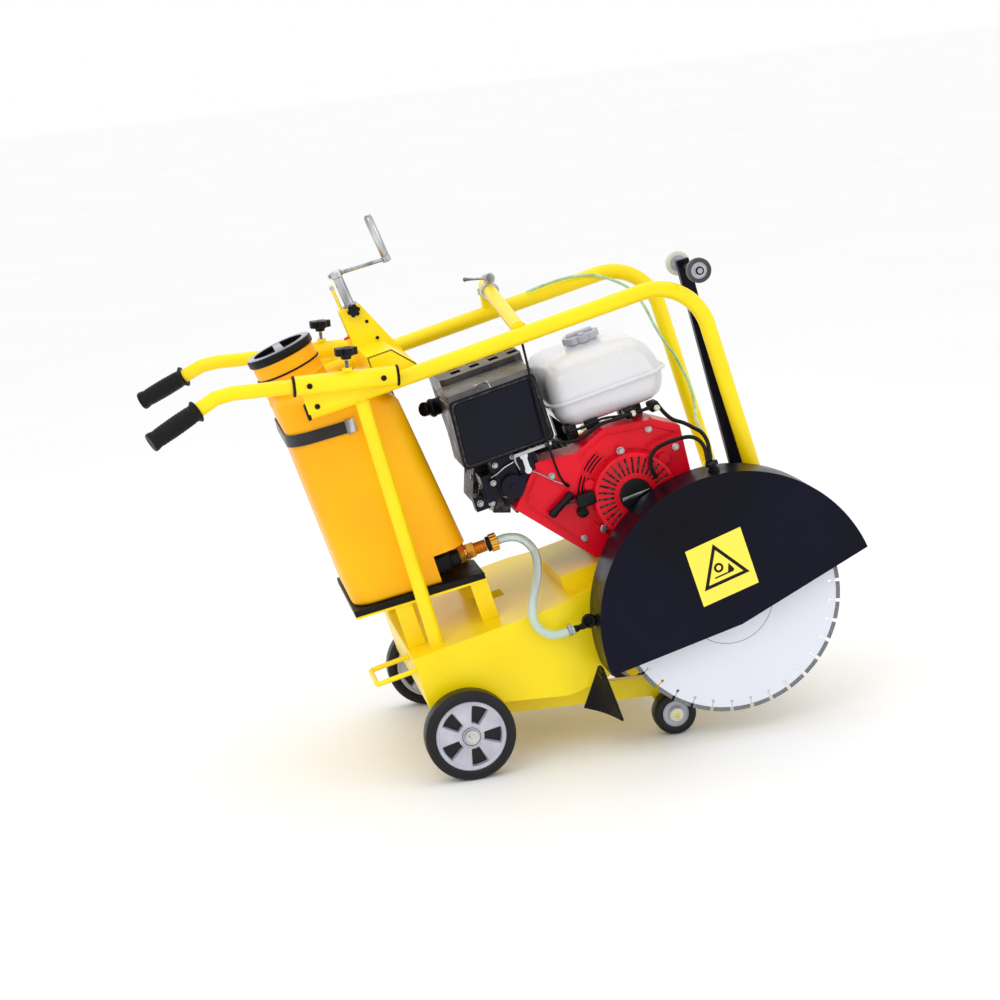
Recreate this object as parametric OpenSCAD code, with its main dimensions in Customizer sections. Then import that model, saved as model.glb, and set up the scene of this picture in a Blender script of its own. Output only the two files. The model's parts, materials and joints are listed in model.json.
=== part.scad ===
// Walk-behind concrete saw. Everything is laid out in the chassis frame: X forward, Y to the
// machine's left, Z square to the deck, with the blade arbor at X = Z = 0. placed() then pitches
// the chassis nose up, as it stands with the blade raised, and sets the wheels on Z = 0.

/* [Placing] */
// Shift that centres the whole machine fore and aft
centre_x = 397.3; // [390:1:410]
// Shift that centres the whole machine sideways
centre_y = 6.3; // [5:0.1:8]

/* [Blade] */
// Diameter of the cutting blade
blade_d = 450; // [440:2:456]
// Thickness of the blade core
core_t = 3; // [2.4:0.2:4]
// Number of segments on the rim
segment_count = 34; // [28:1:40]
// Distance of the blade plane from the mid-plane
blade_offset = 281; // [279:1:283]

/* [Guard] */
// Radius of the blade guard
guard_r = 279; // [272:1:282]
// Sheet thickness of the guard
guard_t = 3; // [2:0.5:4]

/* [Chassis] */
// Sheet thickness of the deck and its skirt
sheet = 4; // [3:0.5:5]
// Half width of the deck at the rear wheels
rear_half = 247; // [244:1:248]
// Half width of the deck beside the blade
front_half = 218; // [216:1:220]
// Height of the deck top above the arbor
deck_z = 98; // [96:1:100]

/* [Tubes] */
// Outer radius of the roll-cage tube
cage_r = 16; // [14:0.5:16]
// Height of the roll-cage rails above the arbor
rail_z = 614; // [606:1:622]
// Outer radius of the telescopic handle tube
handle_r = 14; // [12:0.5:14]

/* [Wheels] */
// Radius of the rear tyres
rear_r = 88.5; // [86:0.5:90]
// Radius of the front wheels
front_r = 43; // [42:0.5:46]
// Width of the rear wheels
rear_w = 45; // [42:1:45]
// Width of the front wheels
front_w = 40; // [34:1:40]

/* [Hidden] */
$fn = 64;
right = -1;
left = 1;
run_gap = 0.06;      // radial clearance of every running fit
yellow = [1, 0.87, 0.05];
amber = [1, 0.72, 0.05];
red = [0.85, 0.05, 0.12];
black = [0.07, 0.07, 0.09];
steel = [0.75, 0.76, 0.78];

// Chassis corners in plan
rear_x = -617;
front_x = 160;
taper_x0 = -330;     // the skirt turns inward here to pass the guard
taper_x1 = -255;
taper_in = sheet * tan(atan((rear_half - front_half) / (taper_x1 - taper_x0)) / 2);
skirt_front_z = -18;
leg_x = 140;
bend_r = 105;
rail_rear_x = -648;
rail_y = 203;
bar_low = [-211, -197, 623];    // ends of the lifting bar across the rails
bar_high = [-195, 203, 672];

// Guard: centre of its rim, its lips and its lower edge
guard_cx = 8;
guard_cz = -23;
guard_out = -325;
guard_in = -225;
guard_mouth = [[-310, -51], [3, -44], [320, 21], [320, 400], [-310, 400]];

// Engine: crank axis, base height
crank_x = -98;
crank_z = 243;
feet_z = deck_z + 30;
pulley_y = 125;
pulley_w = 40;
drive_pulley_r = 52;
driven_pulley_r = 62;

// Handles: the sleeve axis slopes down towards the front
handle_drop = 13.5;
sleeve_x = -560.5;
sleeve_z = 652.5;
sleeve_y = 243;
sleeve_half = 96;
sleeve_r = 19;

// Depth screw: its line leans back and passes through the deck slot
screw_x = -487;
screw_z = 735;
screw_lean = 5;
screw_r = 8;
shaft_tube_r = 10;
nut_s = -805.1;      // nut centre along the screw line, blade raised
crank_throw = 103;
crank_s = 85;        // crank arm along the screw line
elbow_s = 72;        // and at its elbow, where the grip stands
neck_h = 79;         // filler neck of the tank
knob_s = 10;         // lock knob along the screw line

// Swing frame: pivot, slope of its arms, front axle
pivot_x = -520;
pivot_z = -59;
arm_slope = 14.4;
arm_y = 165;
axle_r = 10;
front_x_axle = -160;
front_z_axle = -202;
front_wheel_y = 203;
rear_x_axle = -563;
rear_z_axle = -69;
rear_out = 308;

// The stance follows from the wheels: with the blade raised all four stand on the floor
wheelbase = front_x_axle - rear_x_axle;
axle_drop = rear_z_axle - front_z_axle;
pitch = acos((rear_r - front_r) / norm([wheelbase, axle_drop])) - atan2(wheelbase, axle_drop);
arbor_height = rear_r - rear_x_axle * sin(pitch) - rear_z_axle * cos(pitch);

// Tank tray: slopes slightly down to the front
tray_slope = 3.4;
tray_x = -690;
tray_z = 194;

// Guide arm: pivot on the deck, wheels at its tip
guide_x = 115;
guide_z = 118;
guide_y = -160;
guide_lean = 2.6;
guide_len = 512;

// Routes of the lines, in the chassis frame
hose_route = [[-372, -100, 226], [-358, -100, 226], [-343, -103, 223], [-330, -110, 217],
    [-320, -124, 206], [-315, -142, 191], [-318, -162, 176], [-326, -184, 161], [-337, -206, 148],
    [-351, -230, 136], [-363, -250, 121], [-371, -262, 105], [-373, -267, 88], [-368, -267, 73],
    [-359, -267, 61], [-347, -267, 53], [-332, -267, 49], [-318, -267, 48], [-304, -267, 48]];
cable_route = [[-186, 143, 648], [-192, 90, 641], [-196, 40, 634.5], [-201, -60, 622.5],
    [-206, -130, 613.5], [-210, -172, 604.5], [-214, -188, 588], [-218, -202, 564], [-223, -211, 525],
    [-227, -214, 480], [-230, -215, 430], [-231, -214, 380], [-229, -209, 336], [-223, -198, 312], [-216, -190, 302]];
fuel_hose_route = [[8, -141, 388], [14, -152, 368], [25, -160, 349], [43, -170, 336],
    [56, -185, 323], [64, -205, 314], [64, -232, 300], [56, -262, 284], [49, -284, 272]];
pulse_hose_route = [[-50, -216, 262], [-54, -218, 282], [-52, -218, 298], [-44, -217, 310],
    [-30, -216, 318], [-6, -216, 321], [18, -216, 320], [38, -218, 316], [50, -226, 306],
    [52, -248, 293], [44, -278, 277], [41, -286, 272]];
thin_tube_route = [[-120, 185, 632], [-40, 184, 632], [20, 183, 620], [62, 182, 592],
    [92, 182, 560], [106, 180, 520], [113, 176, 476], [121, 172, 441], [131, 170, 411],
    [139, 168, 374], [143, 164, 343], [140, 148, 312], [130, 118, 292], [112, 50, 282],
    [92, -80, 278], [74, -180, 280], [60, -240, 280], [54, -284, 272]];

module placed() {
    translate([centre_x, centre_y, arbor_height]) rotate([0, -pitch, 0]) children();
}

// A flat outline drawn in X and Z, standing from y0 to y0 + t
module wall(y0, t) {
    translate([0, y0 + t, 0]) rotate([90, 0, 0]) linear_extrude(t) children();
}

module cyl_y(x, z, y0, len, r) {
    translate([x, y0, z]) rotate([-90, 0, 0]) cylinder(h = len, r = r);
}

module rod(p, q, r) {
    d = q - p;
    translate(p) rotate([0, acos(d[2] / norm(d)), atan2(d[1], d[0])]) cylinder(h = norm(d), r = r);
}

module block(low, high) {
    translate(low) cube(high - low);
}

// Rectangle with round corners, from its low corner
module soft_rect(w, h, r) {
    translate([r, 0]) square([w - 2 * r, h]);
    translate([0, r]) square([w, h - 2 * r]);
    for (x = [r, w - r], y = [r, h - r]) translate([x, y]) circle(r);
}

module hex_y(x, z, y0, len, across) {
    translate([x, y0, z]) rotate([-90, 0, 0]) cylinder(h = len, d = across / cos(30), $fn = 6);
}

module hex_x(x0, y, z, len, across) {
    translate([x0, y, z]) rotate([0, 90, 0]) cylinder(h = len, d = across / cos(30), $fn = 6);
}

// Tube swept along a hand-laid route, as one solid
function unit(v) = v / norm(v);
function tangent(path, i) = unit(path[min(i + 1, len(path) - 1)] - path[max(i - 1, 0)]);
function side_of(t) = unit(cross(t, abs(t[2]) > 0.9 ? [1, 0, 0] : [0, 0, 1]));
function ring(path, i, r, sides) = let (t = tangent(path, i), u = side_of(t), v = cross(t, u))
    [for (k = [0:sides - 1]) path[i] + r * (cos(360 * k / sides) * u + sin(360 * k / sides) * v)];
module sweep(path, r, sides = 10) {
    rings = len(path);
    points = [for (i = [0:rings - 1]) each ring(path, i, r, sides)];
    skin = [for (i = [0:rings - 2], k = [0:sides - 1]) let (n = (k + 1) % sides)
        [i * sides + k, (i + 1) * sides + k, (i + 1) * sides + n, i * sides + n]];
    cap_a = [for (k = [0:sides - 1]) k];
    cap_b = [for (k = [sides - 1:-1:0]) (rings - 1) * sides + k];
    polyhedron(points = points, faces = concat([cap_a], skin, [cap_b]), convexity = 6);
}

module screw_line() {
    translate([screw_x, 0, screw_z]) rotate([0, -screw_lean, 0]) children();
}

module sleeve_line(side) {
    translate([sleeve_x, side * sleeve_y, sleeve_z]) rotate([0, handle_drop, 0]) children();
}

module swing_line() {
    translate([pivot_x, 0, pivot_z]) rotate([0, arm_slope, 0]) children();
}

module tray_line() {
    translate([tray_x, 0, tray_z]) rotate([0, tray_slope, 0]) children();
}

// ---- Chassis ----

module deck_outline() {
    i_rear = rear_half - sheet;
    i_front = front_half - sheet;
    polygon([[rear_x, -i_rear], [taper_x0 - taper_in, -i_rear], [taper_x1 - taper_in, -i_front],
        [front_x, -i_front], [front_x, i_front], [taper_x1 - taper_in, i_front],
        [taper_x0 - taper_in, i_rear], [rear_x, i_rear]]);
}

module base_deck() {
    color(yellow) placed() {
        difference() {
            translate([0, 0, deck_z - sheet]) linear_extrude(sheet) deck_outline();
            block([-455, -28, deck_z - 10], [-388, 28, deck_z + 10]);
            block([-150, 118, deck_z - 10], [72, 172, deck_z + 10]);
            block([100, guide_y - 11, deck_z - 10], [front_x + 5, guide_y + 11, deck_z + 10]);
        }
        for (y = [guide_y - 20, guide_y + 12])
            difference() {
                wall(y, 8) {
                    translate([guide_x, guide_z]) circle(18);
                    translate([guide_x - 18, deck_z]) square([36, guide_z - deck_z]);
                }
                cyl_y(guide_x, guide_z, y - 1, 10, 6);
            }
        cyl_y(guide_x, guide_z, guide_y - 22, 44, 6);
    }
}

module skirt_strip(side) {
    pts = [[rear_x, rear_half], [taper_x0, rear_half], [taper_x1, front_half],
        [front_x, front_half], [front_x, front_half - sheet],
        [taper_x1 - taper_in, front_half - sheet], [taper_x0 - taper_in, rear_half - sheet],
        [rear_x, rear_half - sheet]];
    translate([0, 0, -100]) linear_extrude(300) polygon([for (p = pts) [p[0], side * p[1]]]);
}

module skirt_profile() {
    difference() {
        polygon([[rear_x, deck_z], [rear_x - 3, -8], [-352, -80], [-252, -80],
            [-236, skirt_front_z], [front_x, skirt_front_z], [front_x, deck_z]]);
        circle(40);
    }
}

module base_skirt() {
    color(yellow) placed() {
        for (side = [right, left])
            intersection() {
                skirt_strip(side);
                wall(-rear_half - 5, 2 * rear_half + 10) skirt_profile();
            }
        block([rear_x, -rear_half + sheet, -8], [rear_x + sheet, rear_half - sheet, deck_z - sheet]);
        difference() {
            block([front_x - sheet, -front_half + sheet, skirt_front_z],
                [front_x, front_half - sheet, deck_z - sheet]);
            block([front_x - 10, guide_y - 11, 8], [front_x + 5, guide_y + 11, deck_z + 5]);
        }
        // saddles that the shaft bearings hang from
        for (y = [-200, 75])
            block([-75, y, 48], [75, y + 40, deck_z - sheet]);
        // ears and pin of the swing frame
        for (side = [right, left])
            difference() {
                wall(side == left ? 190 : -200, 10)
                    polygon([[-548, deck_z - sheet], [-548, -60], [-536, -84], [-504, -84],
                        [-492, -60], [-492, deck_z - sheet]]);
                cyl_y(pivot_x, pivot_z, -210, 420, 10);
            }
        cyl_y(pivot_x, pivot_z, -203, 406, 10);
        // hangers of the rear axle
        for (side = [right, left])
            difference() {
                wall(side == left ? 233 : -243, 10)
                    polygon([[-600, 60], [-600, -40], [-585, -92], [-541, -92], [-530, -40], [-530, 60]]);
                cyl_y(rear_x_axle, rear_z_axle, -250, 500, axle_r + run_gap);
            }
        // tie-down loop on the rear end
        for (y = [-232, -120])
            rod([rear_x - 72, y, 72], [rear_x, y, 72], 5);
        rod([rear_x - 80, -224, 72], [rear_x - 80, -128, 72], 5);
        for (s = [0, 1])
            translate([rear_x - 72, s == 0 ? -224 : -128, 72]) rotate([0, 0, s == 0 ? 180 : 90])
                rotate_extrude(angle = 90) translate([8, 0]) circle(5);
    }
}

module engine_platform() {
    color(yellow) placed()
        difference() {
            block([-285, -160, deck_z], [45, 112, feet_z]);
            block([-285 + sheet, -160 + sheet, deck_z - 5], [45 - sheet, 112 - sheet, feet_z - sheet]);
            for (x = bolt_x, y = bolt_y)
                translate([x, y, deck_z]) cylinder(h = 60, r = 5);
        }
}

// ---- Roll cage ----

module bent_rail(side, r) {
    y = side * rail_y;
    rod([rail_rear_x, y, rail_z], [leg_x - bend_r, y, rail_z], r);
    translate([leg_x - bend_r, y, rail_z - bend_r]) rotate([90, 0, 0])
        rotate_extrude(angle = 90) translate([bend_r, 0]) circle(r);
    rod([leg_x, y, deck_z + 6], [leg_x, y, rail_z - bend_r], r);
}

module rail(side) {
    y = side * rail_y;
    color(yellow) placed() {
        difference() {
            bent_rail(side, cage_r);
            difference() {
                bent_rail(side, cage_r - 2.5);
                block([rail_rear_x - 1, y - 30, rail_z - 30], [rail_rear_x + 3, y + 30, rail_z + 30]);
            }
        }
        block([leg_x - 30, side * 201 - 17, deck_z], [leg_x + 20, side * 201 + 17, deck_z + 6]);
        // gusset at the foot
        wall(y - side * 13 - 3, 6)
            polygon([[leg_x - 28, deck_z + 6], [leg_x - 12, deck_z + 66], [leg_x - 6, deck_z + 66],
                [leg_x - 6, deck_z + 6]]);
    }
}

module rail_right() {
    rail(right);
}

module rail_left() {
    rail(left);
}

module cage_posts() {
    color(yellow) placed() {
        for (side = [right, left])
            difference() {
                rod([-561, side * rail_y, deck_z - 5], [-541, side * rail_y, rail_z], cage_r - 2);
                block([-600, -250, deck_z - 20], [-500, 250, deck_z]);
                rod([rail_rear_x, side * rail_y, rail_z], [-400, side * rail_y, rail_z], cage_r);
            }
        // lifting bar across the rails, with its upright on the left rail
        difference() {
            rod(bar_low, bar_high, 14);
            rod([-300, -rail_y, rail_z], [-100, -rail_y, rail_z], cage_r);
        }
        difference() {
            rod([-205, rail_y, rail_z], [-200, rail_y, 660], 12);
            rod([-300, rail_y, rail_z], [-100, rail_y, rail_z], cage_r);
            rod(bar_low, bar_high, 14);
        }
    }
}

module console_outline(g) {
    polygon([[-505 + g, 598 - g], [-505 + g, 672 - g], [-455 - g / 2, 672 - g],
        [-418 - g, 630 - g / 2], [-418 - g, 598 - g]]);
}

module console() {
    w = rail_y - cage_r;
    color(yellow) placed()
        difference() {
            union() {
                difference() {
                    wall(-w, 2 * w) console_outline(0);
                    wall(-w - 1, 2 * w + 2) console_outline(3);
                }
                screw_line() bracket_shell();
            }
            screw_line() {
                translate([0, 0, -160]) cylinder(h = 104, r = 13);
                translate([0, 0, -60]) cylinder(h = 90, r = shaft_tube_r + run_gap);
                translate([-34, -17, -44]) cube([60, 34, 48]);
                translate([0, 0, knob_s]) rotate([90, 0, 0]) cylinder(h = 40, r = 4 + run_gap);
            }
        }
    color(steel) placed() screw_line()
        translate([-19, 0, -60]) cylinder(h = 128, r = 3.5);
}

module bracket_shell() {
    difference() {
        wall(-22, 44) polygon([[-28, -74], [-26, 16], [17, 16], [31, -24], [66, -126], [48, -112]]);
        translate([-19, 0, -90]) cylinder(h = 200, r = 3.5);
    }
}

module handle_sleeves() {
    for (side = [right, left]) placed() {
        color(yellow) {
            difference() {
                union() {
                    sleeve_line(side) {
                        translate([-sleeve_half, 0, 0]) rotate([0, 90, 0])
                            cylinder(h = 2 * sleeve_half, r = sleeve_r);
                        translate([5, 0, 0]) cylinder(h = sleeve_r + 6, r = 9);
                    }
                    wall(side == left ? rail_y + cage_r : -rail_y - cage_r - 8, 8)
                        polygon([[-646, 612], [-646, 655], [-500, 622], [-480, 612]]);
                }
                sleeve_line(side) {
                    translate([-sleeve_half - 1, 0, 0]) rotate([0, 90, 0])
                        cylinder(h = 2 * sleeve_half + 2, r = handle_r + run_gap);
                    translate([5, 0, 5]) cylinder(h = 50, r = 4 + run_gap);
                }
            }
        }
        color(black) sleeve_line(side)
            for (x = [-sleeve_half - 5, sleeve_half])
                translate([x, 0, 0]) rotate([0, 90, 0]) difference() {
                    cylinder(h = 5, r = sleeve_r + 1.5);
                    translate([0, 0, -1]) cylinder(h = 7, r = handle_r + run_gap);
                }
    }
}

handle_knee = [-769.6, 702.7];
handle_tail = [-801, 247, 705];
handle_end = [-938, 284, 673];

function mirror_y(p, side) = [p[0], side * p[1], p[2]];

module handle(side) {
    knee = [handle_knee[0], side * sleeve_y, handle_knee[1]];
    tail = mirror_y(handle_tail, side);
    color(yellow) placed()
        difference() {
            union() {
                sleeve_line(side) translate([-215, 0, 0]) rotate([0, 90, 0])
                    cylinder(h = 295, r = handle_r);
                translate(knee) sphere(handle_r);
                rod(knee, tail, handle_r);
                translate(tail) sphere(handle_r);
                rod(tail, mirror_y(handle_end, side), handle_r);
            }
            sleeve_line(side) translate([-190, 0, 0]) rotate([0, 90, 0])
                cylinder(h = 300, r = handle_r - 2.5);
        }
}

module handle_right() {
    handle(right);
}

module handle_left() {
    handle(left);
}

module grip(side) {
    tip = mirror_y(handle_end, side);
    root = mirror_y(handle_tail, side);
    along = unit(tip - root);
    color(black) placed()
        difference() {
            union() {
                rod(tip - 104 * along, tip + 4 * along, 17);
                rod(tip - 104 * along, tip - 97 * along, 21);
                for (k = [0:6]) rod(tip - (84 - 12 * k) * along, tip - (79 - 12 * k) * along, 18.5);
            }
            rod(tip - 110 * along, tip + 0.1 * along, handle_r + run_gap);
        }
}

module grip_right() {
    grip(right);
}

module grip_left() {
    grip(left);
}

// Lobed knob with its stem along -Z below it
module lobed_knob(r, h, stem, lobes) {
    linear_extrude(h) {
        circle(r * 0.62);
        for (k = [0:lobes - 1]) rotate(360 * k / lobes) translate([r * 0.7, 0]) circle(r * 0.3);
    }
    translate([0, 0, -7]) cylinder(h = 7.5, r = r * 0.42);
    translate([0, 0, -stem]) cylinder(h = stem + 1, r = 4);
}

module clamp_knob(side) {
    color(black) placed() sleeve_line(side)
        translate([5, 0, 48]) lobed_knob(23, 15, 33, 5);
}

module clamp_knob_right() {
    clamp_knob(right);
}

module clamp_knob_left() {
    clamp_knob(left);
}

// ---- Water supply ----

module tank_tray() {
    color(yellow) placed() {
        difference() {
            tray_line() block([0, -166, -4], [268, 166, 0]);
            screw_line() block([-36, -30, -620], [80, 30, -300]);
        }
        difference() {
            for (x = [-612, -458], side = [right, left]) {
                y = side * 160;
                block([x, y - 3, deck_z], [x + 34, y + 3, tray_z]);
                block([x + 28, min(y, y - side * 30), deck_z], [x + 34, max(y, y - side * 30), tray_z]);
            }
            tray_line() block([-60, -200, -4], [400, 200, 60]);
        }
    }
}

module neck_line() {
    translate([-638, 0, 628]) rotate([0, -7, 0]) children();
}

module tray_mat() {
    color(black) placed()
        difference() {
            tray_line() block([0, -163, 0], [266, 163, 12]);
            screw_line() block([-36, -30, -620], [80, 30, -300]);
        }
}

module water_tank() {
    color(amber) placed()
        difference() {
            union() {
                intersection() {
                    tray_line() wall(-150, 300)
                        polygon([[4, 12.05], [258, 12.05], [252, 60], [199, 388], [100, 446],
                            [-30, 440], [-34, 425]]);
                    tray_line() translate([-60, -150, 0]) linear_extrude(500) soft_rect(340, 300, 45);
                }
                neck_line() cylinder(h = neck_h, r = 64);
            }
            // hollow of the filler neck
            neck_line() translate([0, 0, neck_h - 12.2]) cylinder(h = 20, r = 56);
            // pocket for the valve at the lower front corner
            block([-507, -160, 150], [-380, -30, 252]);
            // channel that lets the depth screw pass
            screw_line() block([-34, -28, -640], [80, 28, 0]);
        }
}

module tank_cap() {
    color(black) placed() neck_line() translate([0, 0, neck_h]) {
        difference() {
            translate([0, 0, 0.3]) cylinder(h = 17, r = 68);
            // recess on each side of the finger bar
            for (x = [-69, 9])
                intersection() {
                    translate([0, 0, 7]) cylinder(h = 20, r = 52);
                    translate([x, -60, 7]) cube([60, 120, 20]);
                }
        }
        translate([0, 0, -12]) cylinder(h = 13, r = 55);
    }
}

module tank_strap() {
    color(black) placed() tray_line() {
        difference() {
            translate([-39, -153, 352]) cube([250, 306, 26]);
            translate([-60, -150.3, 340]) cube([300, 300.6, 60]);
            translate([100, -200, 340]) cube([300, 400, 60]);
        }
        difference() {
            translate([-39, -153, 352]) cube([12, 306, 26]);
            translate([-36, -150.3, 340]) cube([12, 300.6, 60]);
        }
    }
    color(steel) placed() tray_line() translate([84, -156, 348]) cube([22, 3, 34]);
}

valve_y = -100;
valve_z = 226;

module water_valve() {
    color(black) placed()
        difference() {
            block([-506.9, valve_y - 20, valve_z - 20], [-455, valve_y + 20, valve_z + 14]);
            translate([-480, valve_y, valve_z - 5]) cylinder(h = 40, r = 5 + run_gap);
        }
    color("goldenrod") placed() {
        hex_x(-455, valve_y, valve_z, 30, 32);
        hex_x(-425, valve_y, valve_z, 30, 26);
        hex_x(-388, valve_y, valve_z, 16, 34);
    }
    color(black) placed() translate([-395, valve_y, valve_z]) rotate([0, 90, 0]) cylinder(h = 7, r = 15);
}

module valve_lever() {
    color(steel) placed() translate([-480, valve_y, valve_z]) {
        translate([0, 0, -4]) cylinder(h = 19, r = 5);
        translate([-6, -6, 14.3]) cube([29, 12, 4]);
    }
}

module water_hose() {
    color([0.85, 0.95, 0.95]) placed() sweep(hose_route, 8.5);
}

// ---- Engine ----

bolt_x = [crank_x - 81, crank_x + 81];
bolt_y = [-52, 52];

module barrel_line() {
    translate([crank_x, 0, crank_z + 8]) rotate([0, -70, 0]) children();
}

module head_solid() {
    barrel_line() {
        translate([-66, -76, 220]) cube([132, 152, 34]);
        translate([-48, -58, 254]) cube([96, 116, 40]);
    }
}

module engine_block() {
    color([0.3, 0.3, 0.32]) placed() {
        difference() {
            union() {
                block([-200, -80, feet_z], [4, 80, feet_z + 14]);
                block([-166, -98, feet_z + 6], [-30, 95, 220]);
                block([-185, -98, 200], [-12, 95, 330]);
                cyl_y(crank_x, crank_z, 90, 14, 60);
                // brackets that carry the fuel tank
                for (p = [[-170, 406], [-34, 394.6]], y = [-90, 66])
                    block([p[0], y, 320], [p[0] + 20, y + 24, p[1]]);
                // barrel and fins, lying back towards the head
                barrel_line() {
                    translate([-52, -62, 40]) cube([104, 124, 180]);
                    for (k = [0:8]) translate([-66, -78, 100 + 13 * k]) cube([132, 156, 5]);
                }
                head_solid();
            }
            cyl_y(crank_x, crank_z, -120, 240, 12.5 + run_gap);
            for (x = bolt_x, y = bolt_y)
                translate([x, y, feet_z - 5]) cylinder(h = 30, r = 5);
        }
    }
}

module shroud_outline() {
    translate([crank_x, crank_z]) circle(122);
    polygon([[-262, 366], [-328, 292], [-208, 146], [-130, 128], [-60, 128], [-60, 372], [-181, 357]]);
    polygon([[-150, 300], [-181, 357], [-117, 384], [-15, 368], [31, 338], [24, 243], [-98, 243]]);
}

module fan_shroud() {
    color(red) placed()
        difference() {
            wall(-185, 85) shroud_outline();
            cyl_y(crank_x, crank_z, -181, 90, 112);
            cyl_y(crank_x, crank_z, -190, 20, 70);
            wall(-181, 90) polygon([[-258, 355], [-312, 292], [-206, 160], [-150, 180], [-150, 340]]);
            block([-300, -190, 90], [100, -90, feet_z]);
        }
}

module recoil_housing() {
    color(red) placed()
        difference() {
            union() {
                cyl_y(crank_x, crank_z, -207, 22, 84);
                cyl_y(crank_x, crank_z, -210, 5, 80);
                for (a = [30, 150, 270])
                    cyl_y(crank_x + 90 * cos(a), crank_z + 90 * sin(a), -196, 11, 12);
                // rope exit lug
                block([-210, -212, 256], [-176, -188, 280]);
            }
            cyl_y(crank_x, crank_z, -203, 30, 79);
            for (k = [0:31])
                translate([crank_x, -215, crank_z]) rotate([0, 360 * k / 32, 0])
                    translate([44, 0, -1.8]) cube([32, 20, 3.6]);
            rod(rope_point(-30), rope_point(160), 3.2);
        }
    color(black) placed() cyl_y(crank_x, crank_z, -213.5, 3.5, 30);
    color(steel) placed() block([crank_x - 28, -215.5, crank_z - 4], [crank_x + 28, -213.5, crank_z + 4]);
}

// Point on the starter rope, a distance in from the grip's middle
function rope_point(d) = [-242 + 0.986 * d, -201, 273.5 - 0.168 * d];

module recoil_grip() {
    color(black) placed() {
        rod(rope_point(0), rope_point(128), 3);
        rod([-262, -201, 263], [-222, -201, 284], 8);
        for (p = [[-262, -201, 263], [-222, -201, 284]]) translate(p) sphere(9);
    }
}

module tank_round(w, d, r, h) {
    linear_extrude(h) soft_rect(w, d, r);
}

module fuel_tank() {
    color("white") placed() {
        difference() {
            union() {
                intersection() {
                    wall(-146, 280) polygon([[-172, 408], [20, 392], [38, 404], [44, 446], [44, 452],
                        [32, 500], [6, 523], [-30, 527], [-158, 527], [-182, 510], [-190, 452], [-190, 430]]);
                    translate([-190, -146, 385]) tank_round(234, 280, 34, 150);
                }
                translate([-198, -154, 446]) tank_round(250, 296, 38, 5);
                translate([-72, 0, 518]) cylinder(h = 12, r = 30);
            }
            translate([-72, 0, 499]) cylinder(h = 60, r = 22);
        }
    }
}

module fuel_cap() {
    color(steel) placed() translate([-72, 0, 530.3]) {
        cylinder(h = 14, r = 34);
        for (k = [0:7]) rotate([0, 0, 45 * k]) translate([32, 0, 0]) cylinder(h = 14, r = 6);
        translate([-26, -6, 13]) cube([52, 12, 8]);
        translate([0, 0, -30]) cylinder(h = 31, r = 21);
    }
}

module muffler() {
    color([0.35, 0.35, 0.36]) placed() {
        translate([-356, -40, 405]) linear_extrude(130) soft_rect(146, 180, 22);
        // pipe up from the cylinder head
        difference() {
            rod([-300, 20, 386], [-300, 20, 406], 15);
            head_solid();
        }
    }
    color(black) placed() {
        rod([-374.5, 20, 500], [-396, 20, 500], 17);
        translate([-396, 20, 500]) sphere(17);
        rod([-396, 20, 500], [-416, 10, 504], 13);
    }
}

module muffler_guard() {
    color([0.6, 0.6, 0.61]) placed()
        difference() {
            translate([-374, -56, 402]) linear_extrude(156) soft_rect(172, 214, 18);
            translate([-372, -54, 380]) linear_extrude(176) soft_rect(168, 210, 16);
            for (x = [-345, -305, -265, -225], y = [-28, 24, 76])
                translate([x, y, 500]) cube([20, 32, 80]);
            for (y = [60, 90, 120]) translate([-390, y, 430]) cube([40, 12, 90]);
            translate([-390, 20, 500]) rotate([0, 90, 0]) cylinder(h = 40, r = 18);
        }
}

module air_cleaner() {
    color(black) placed() {
        // cover with a thin bead round its front
        wall(-200, 60) translate([-388, 400]) soft_rect(178, 146, 14);
        wall(-204, 4) translate([-380, 408]) soft_rect(162, 130, 12);
        wall(-140, 78) translate([-384, 400]) soft_rect(170, 144, 14);
    }
    color(steel) placed() translate([-300, -110, 542]) cylinder(h = 10, r = 9);
}

choke_x = -280;
choke_z = 388;

module carburettor() {
    color([0.12, 0.12, 0.13]) placed() {
        difference() {
            union() {
                block([-345, -180, 326], [-255, -88, 399.9]);
                block([-372, -165, 318], [-340, -105, 372]);
                cyl_y(-318, 338, -196, 16, 24);
                block([-395, -128, 300], [-352, -92, 330]);
                translate([-318, -140, 300]) cylinder(h = 27, r = 24);
            }
            cyl_y(choke_x, choke_z, -190, 30, 5 + run_gap);
            translate([-1, 0, 1]) wall(-200, 102) shroud_outline();
            head_solid();
        }
    }
}

module choke_lever() {
    color(steel) placed() {
        cyl_y(choke_x, choke_z, -190, 26, 5);
        wall(-190, 3.5) {
            translate([choke_x - 5, choke_z - 30]) square([10, 30]);
            translate([choke_x, choke_z]) circle(8);
            translate([choke_x, choke_z - 30]) circle(7);
        }
    }
}

switch_x = -206;

module engine_switch() {
    color(black) placed() {
        cyl_y(switch_x, crank_z, -198, 12.7, 11);
        translate([switch_x, -201, crank_z]) rotate([0, 20, 0]) translate([-11, 0, -4]) cube([22, 4, 8]);
    }
}

// Solid of a twin-groove pulley along Y
module pulley(r) {
    groove = 10;
    rotate([-90, 0, 0]) rotate_extrude()
        polygon([[12.5, 0], [r, 0], [r, 4.5], [r - groove, 6.7], [r - groove, 15.3], [r, 17.5],
            [r, 22.5], [r - groove, 24.7], [r - groove, 33.3], [r, 35.5], [r, pulley_w],
            [12.5, pulley_w]]);
}

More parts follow.
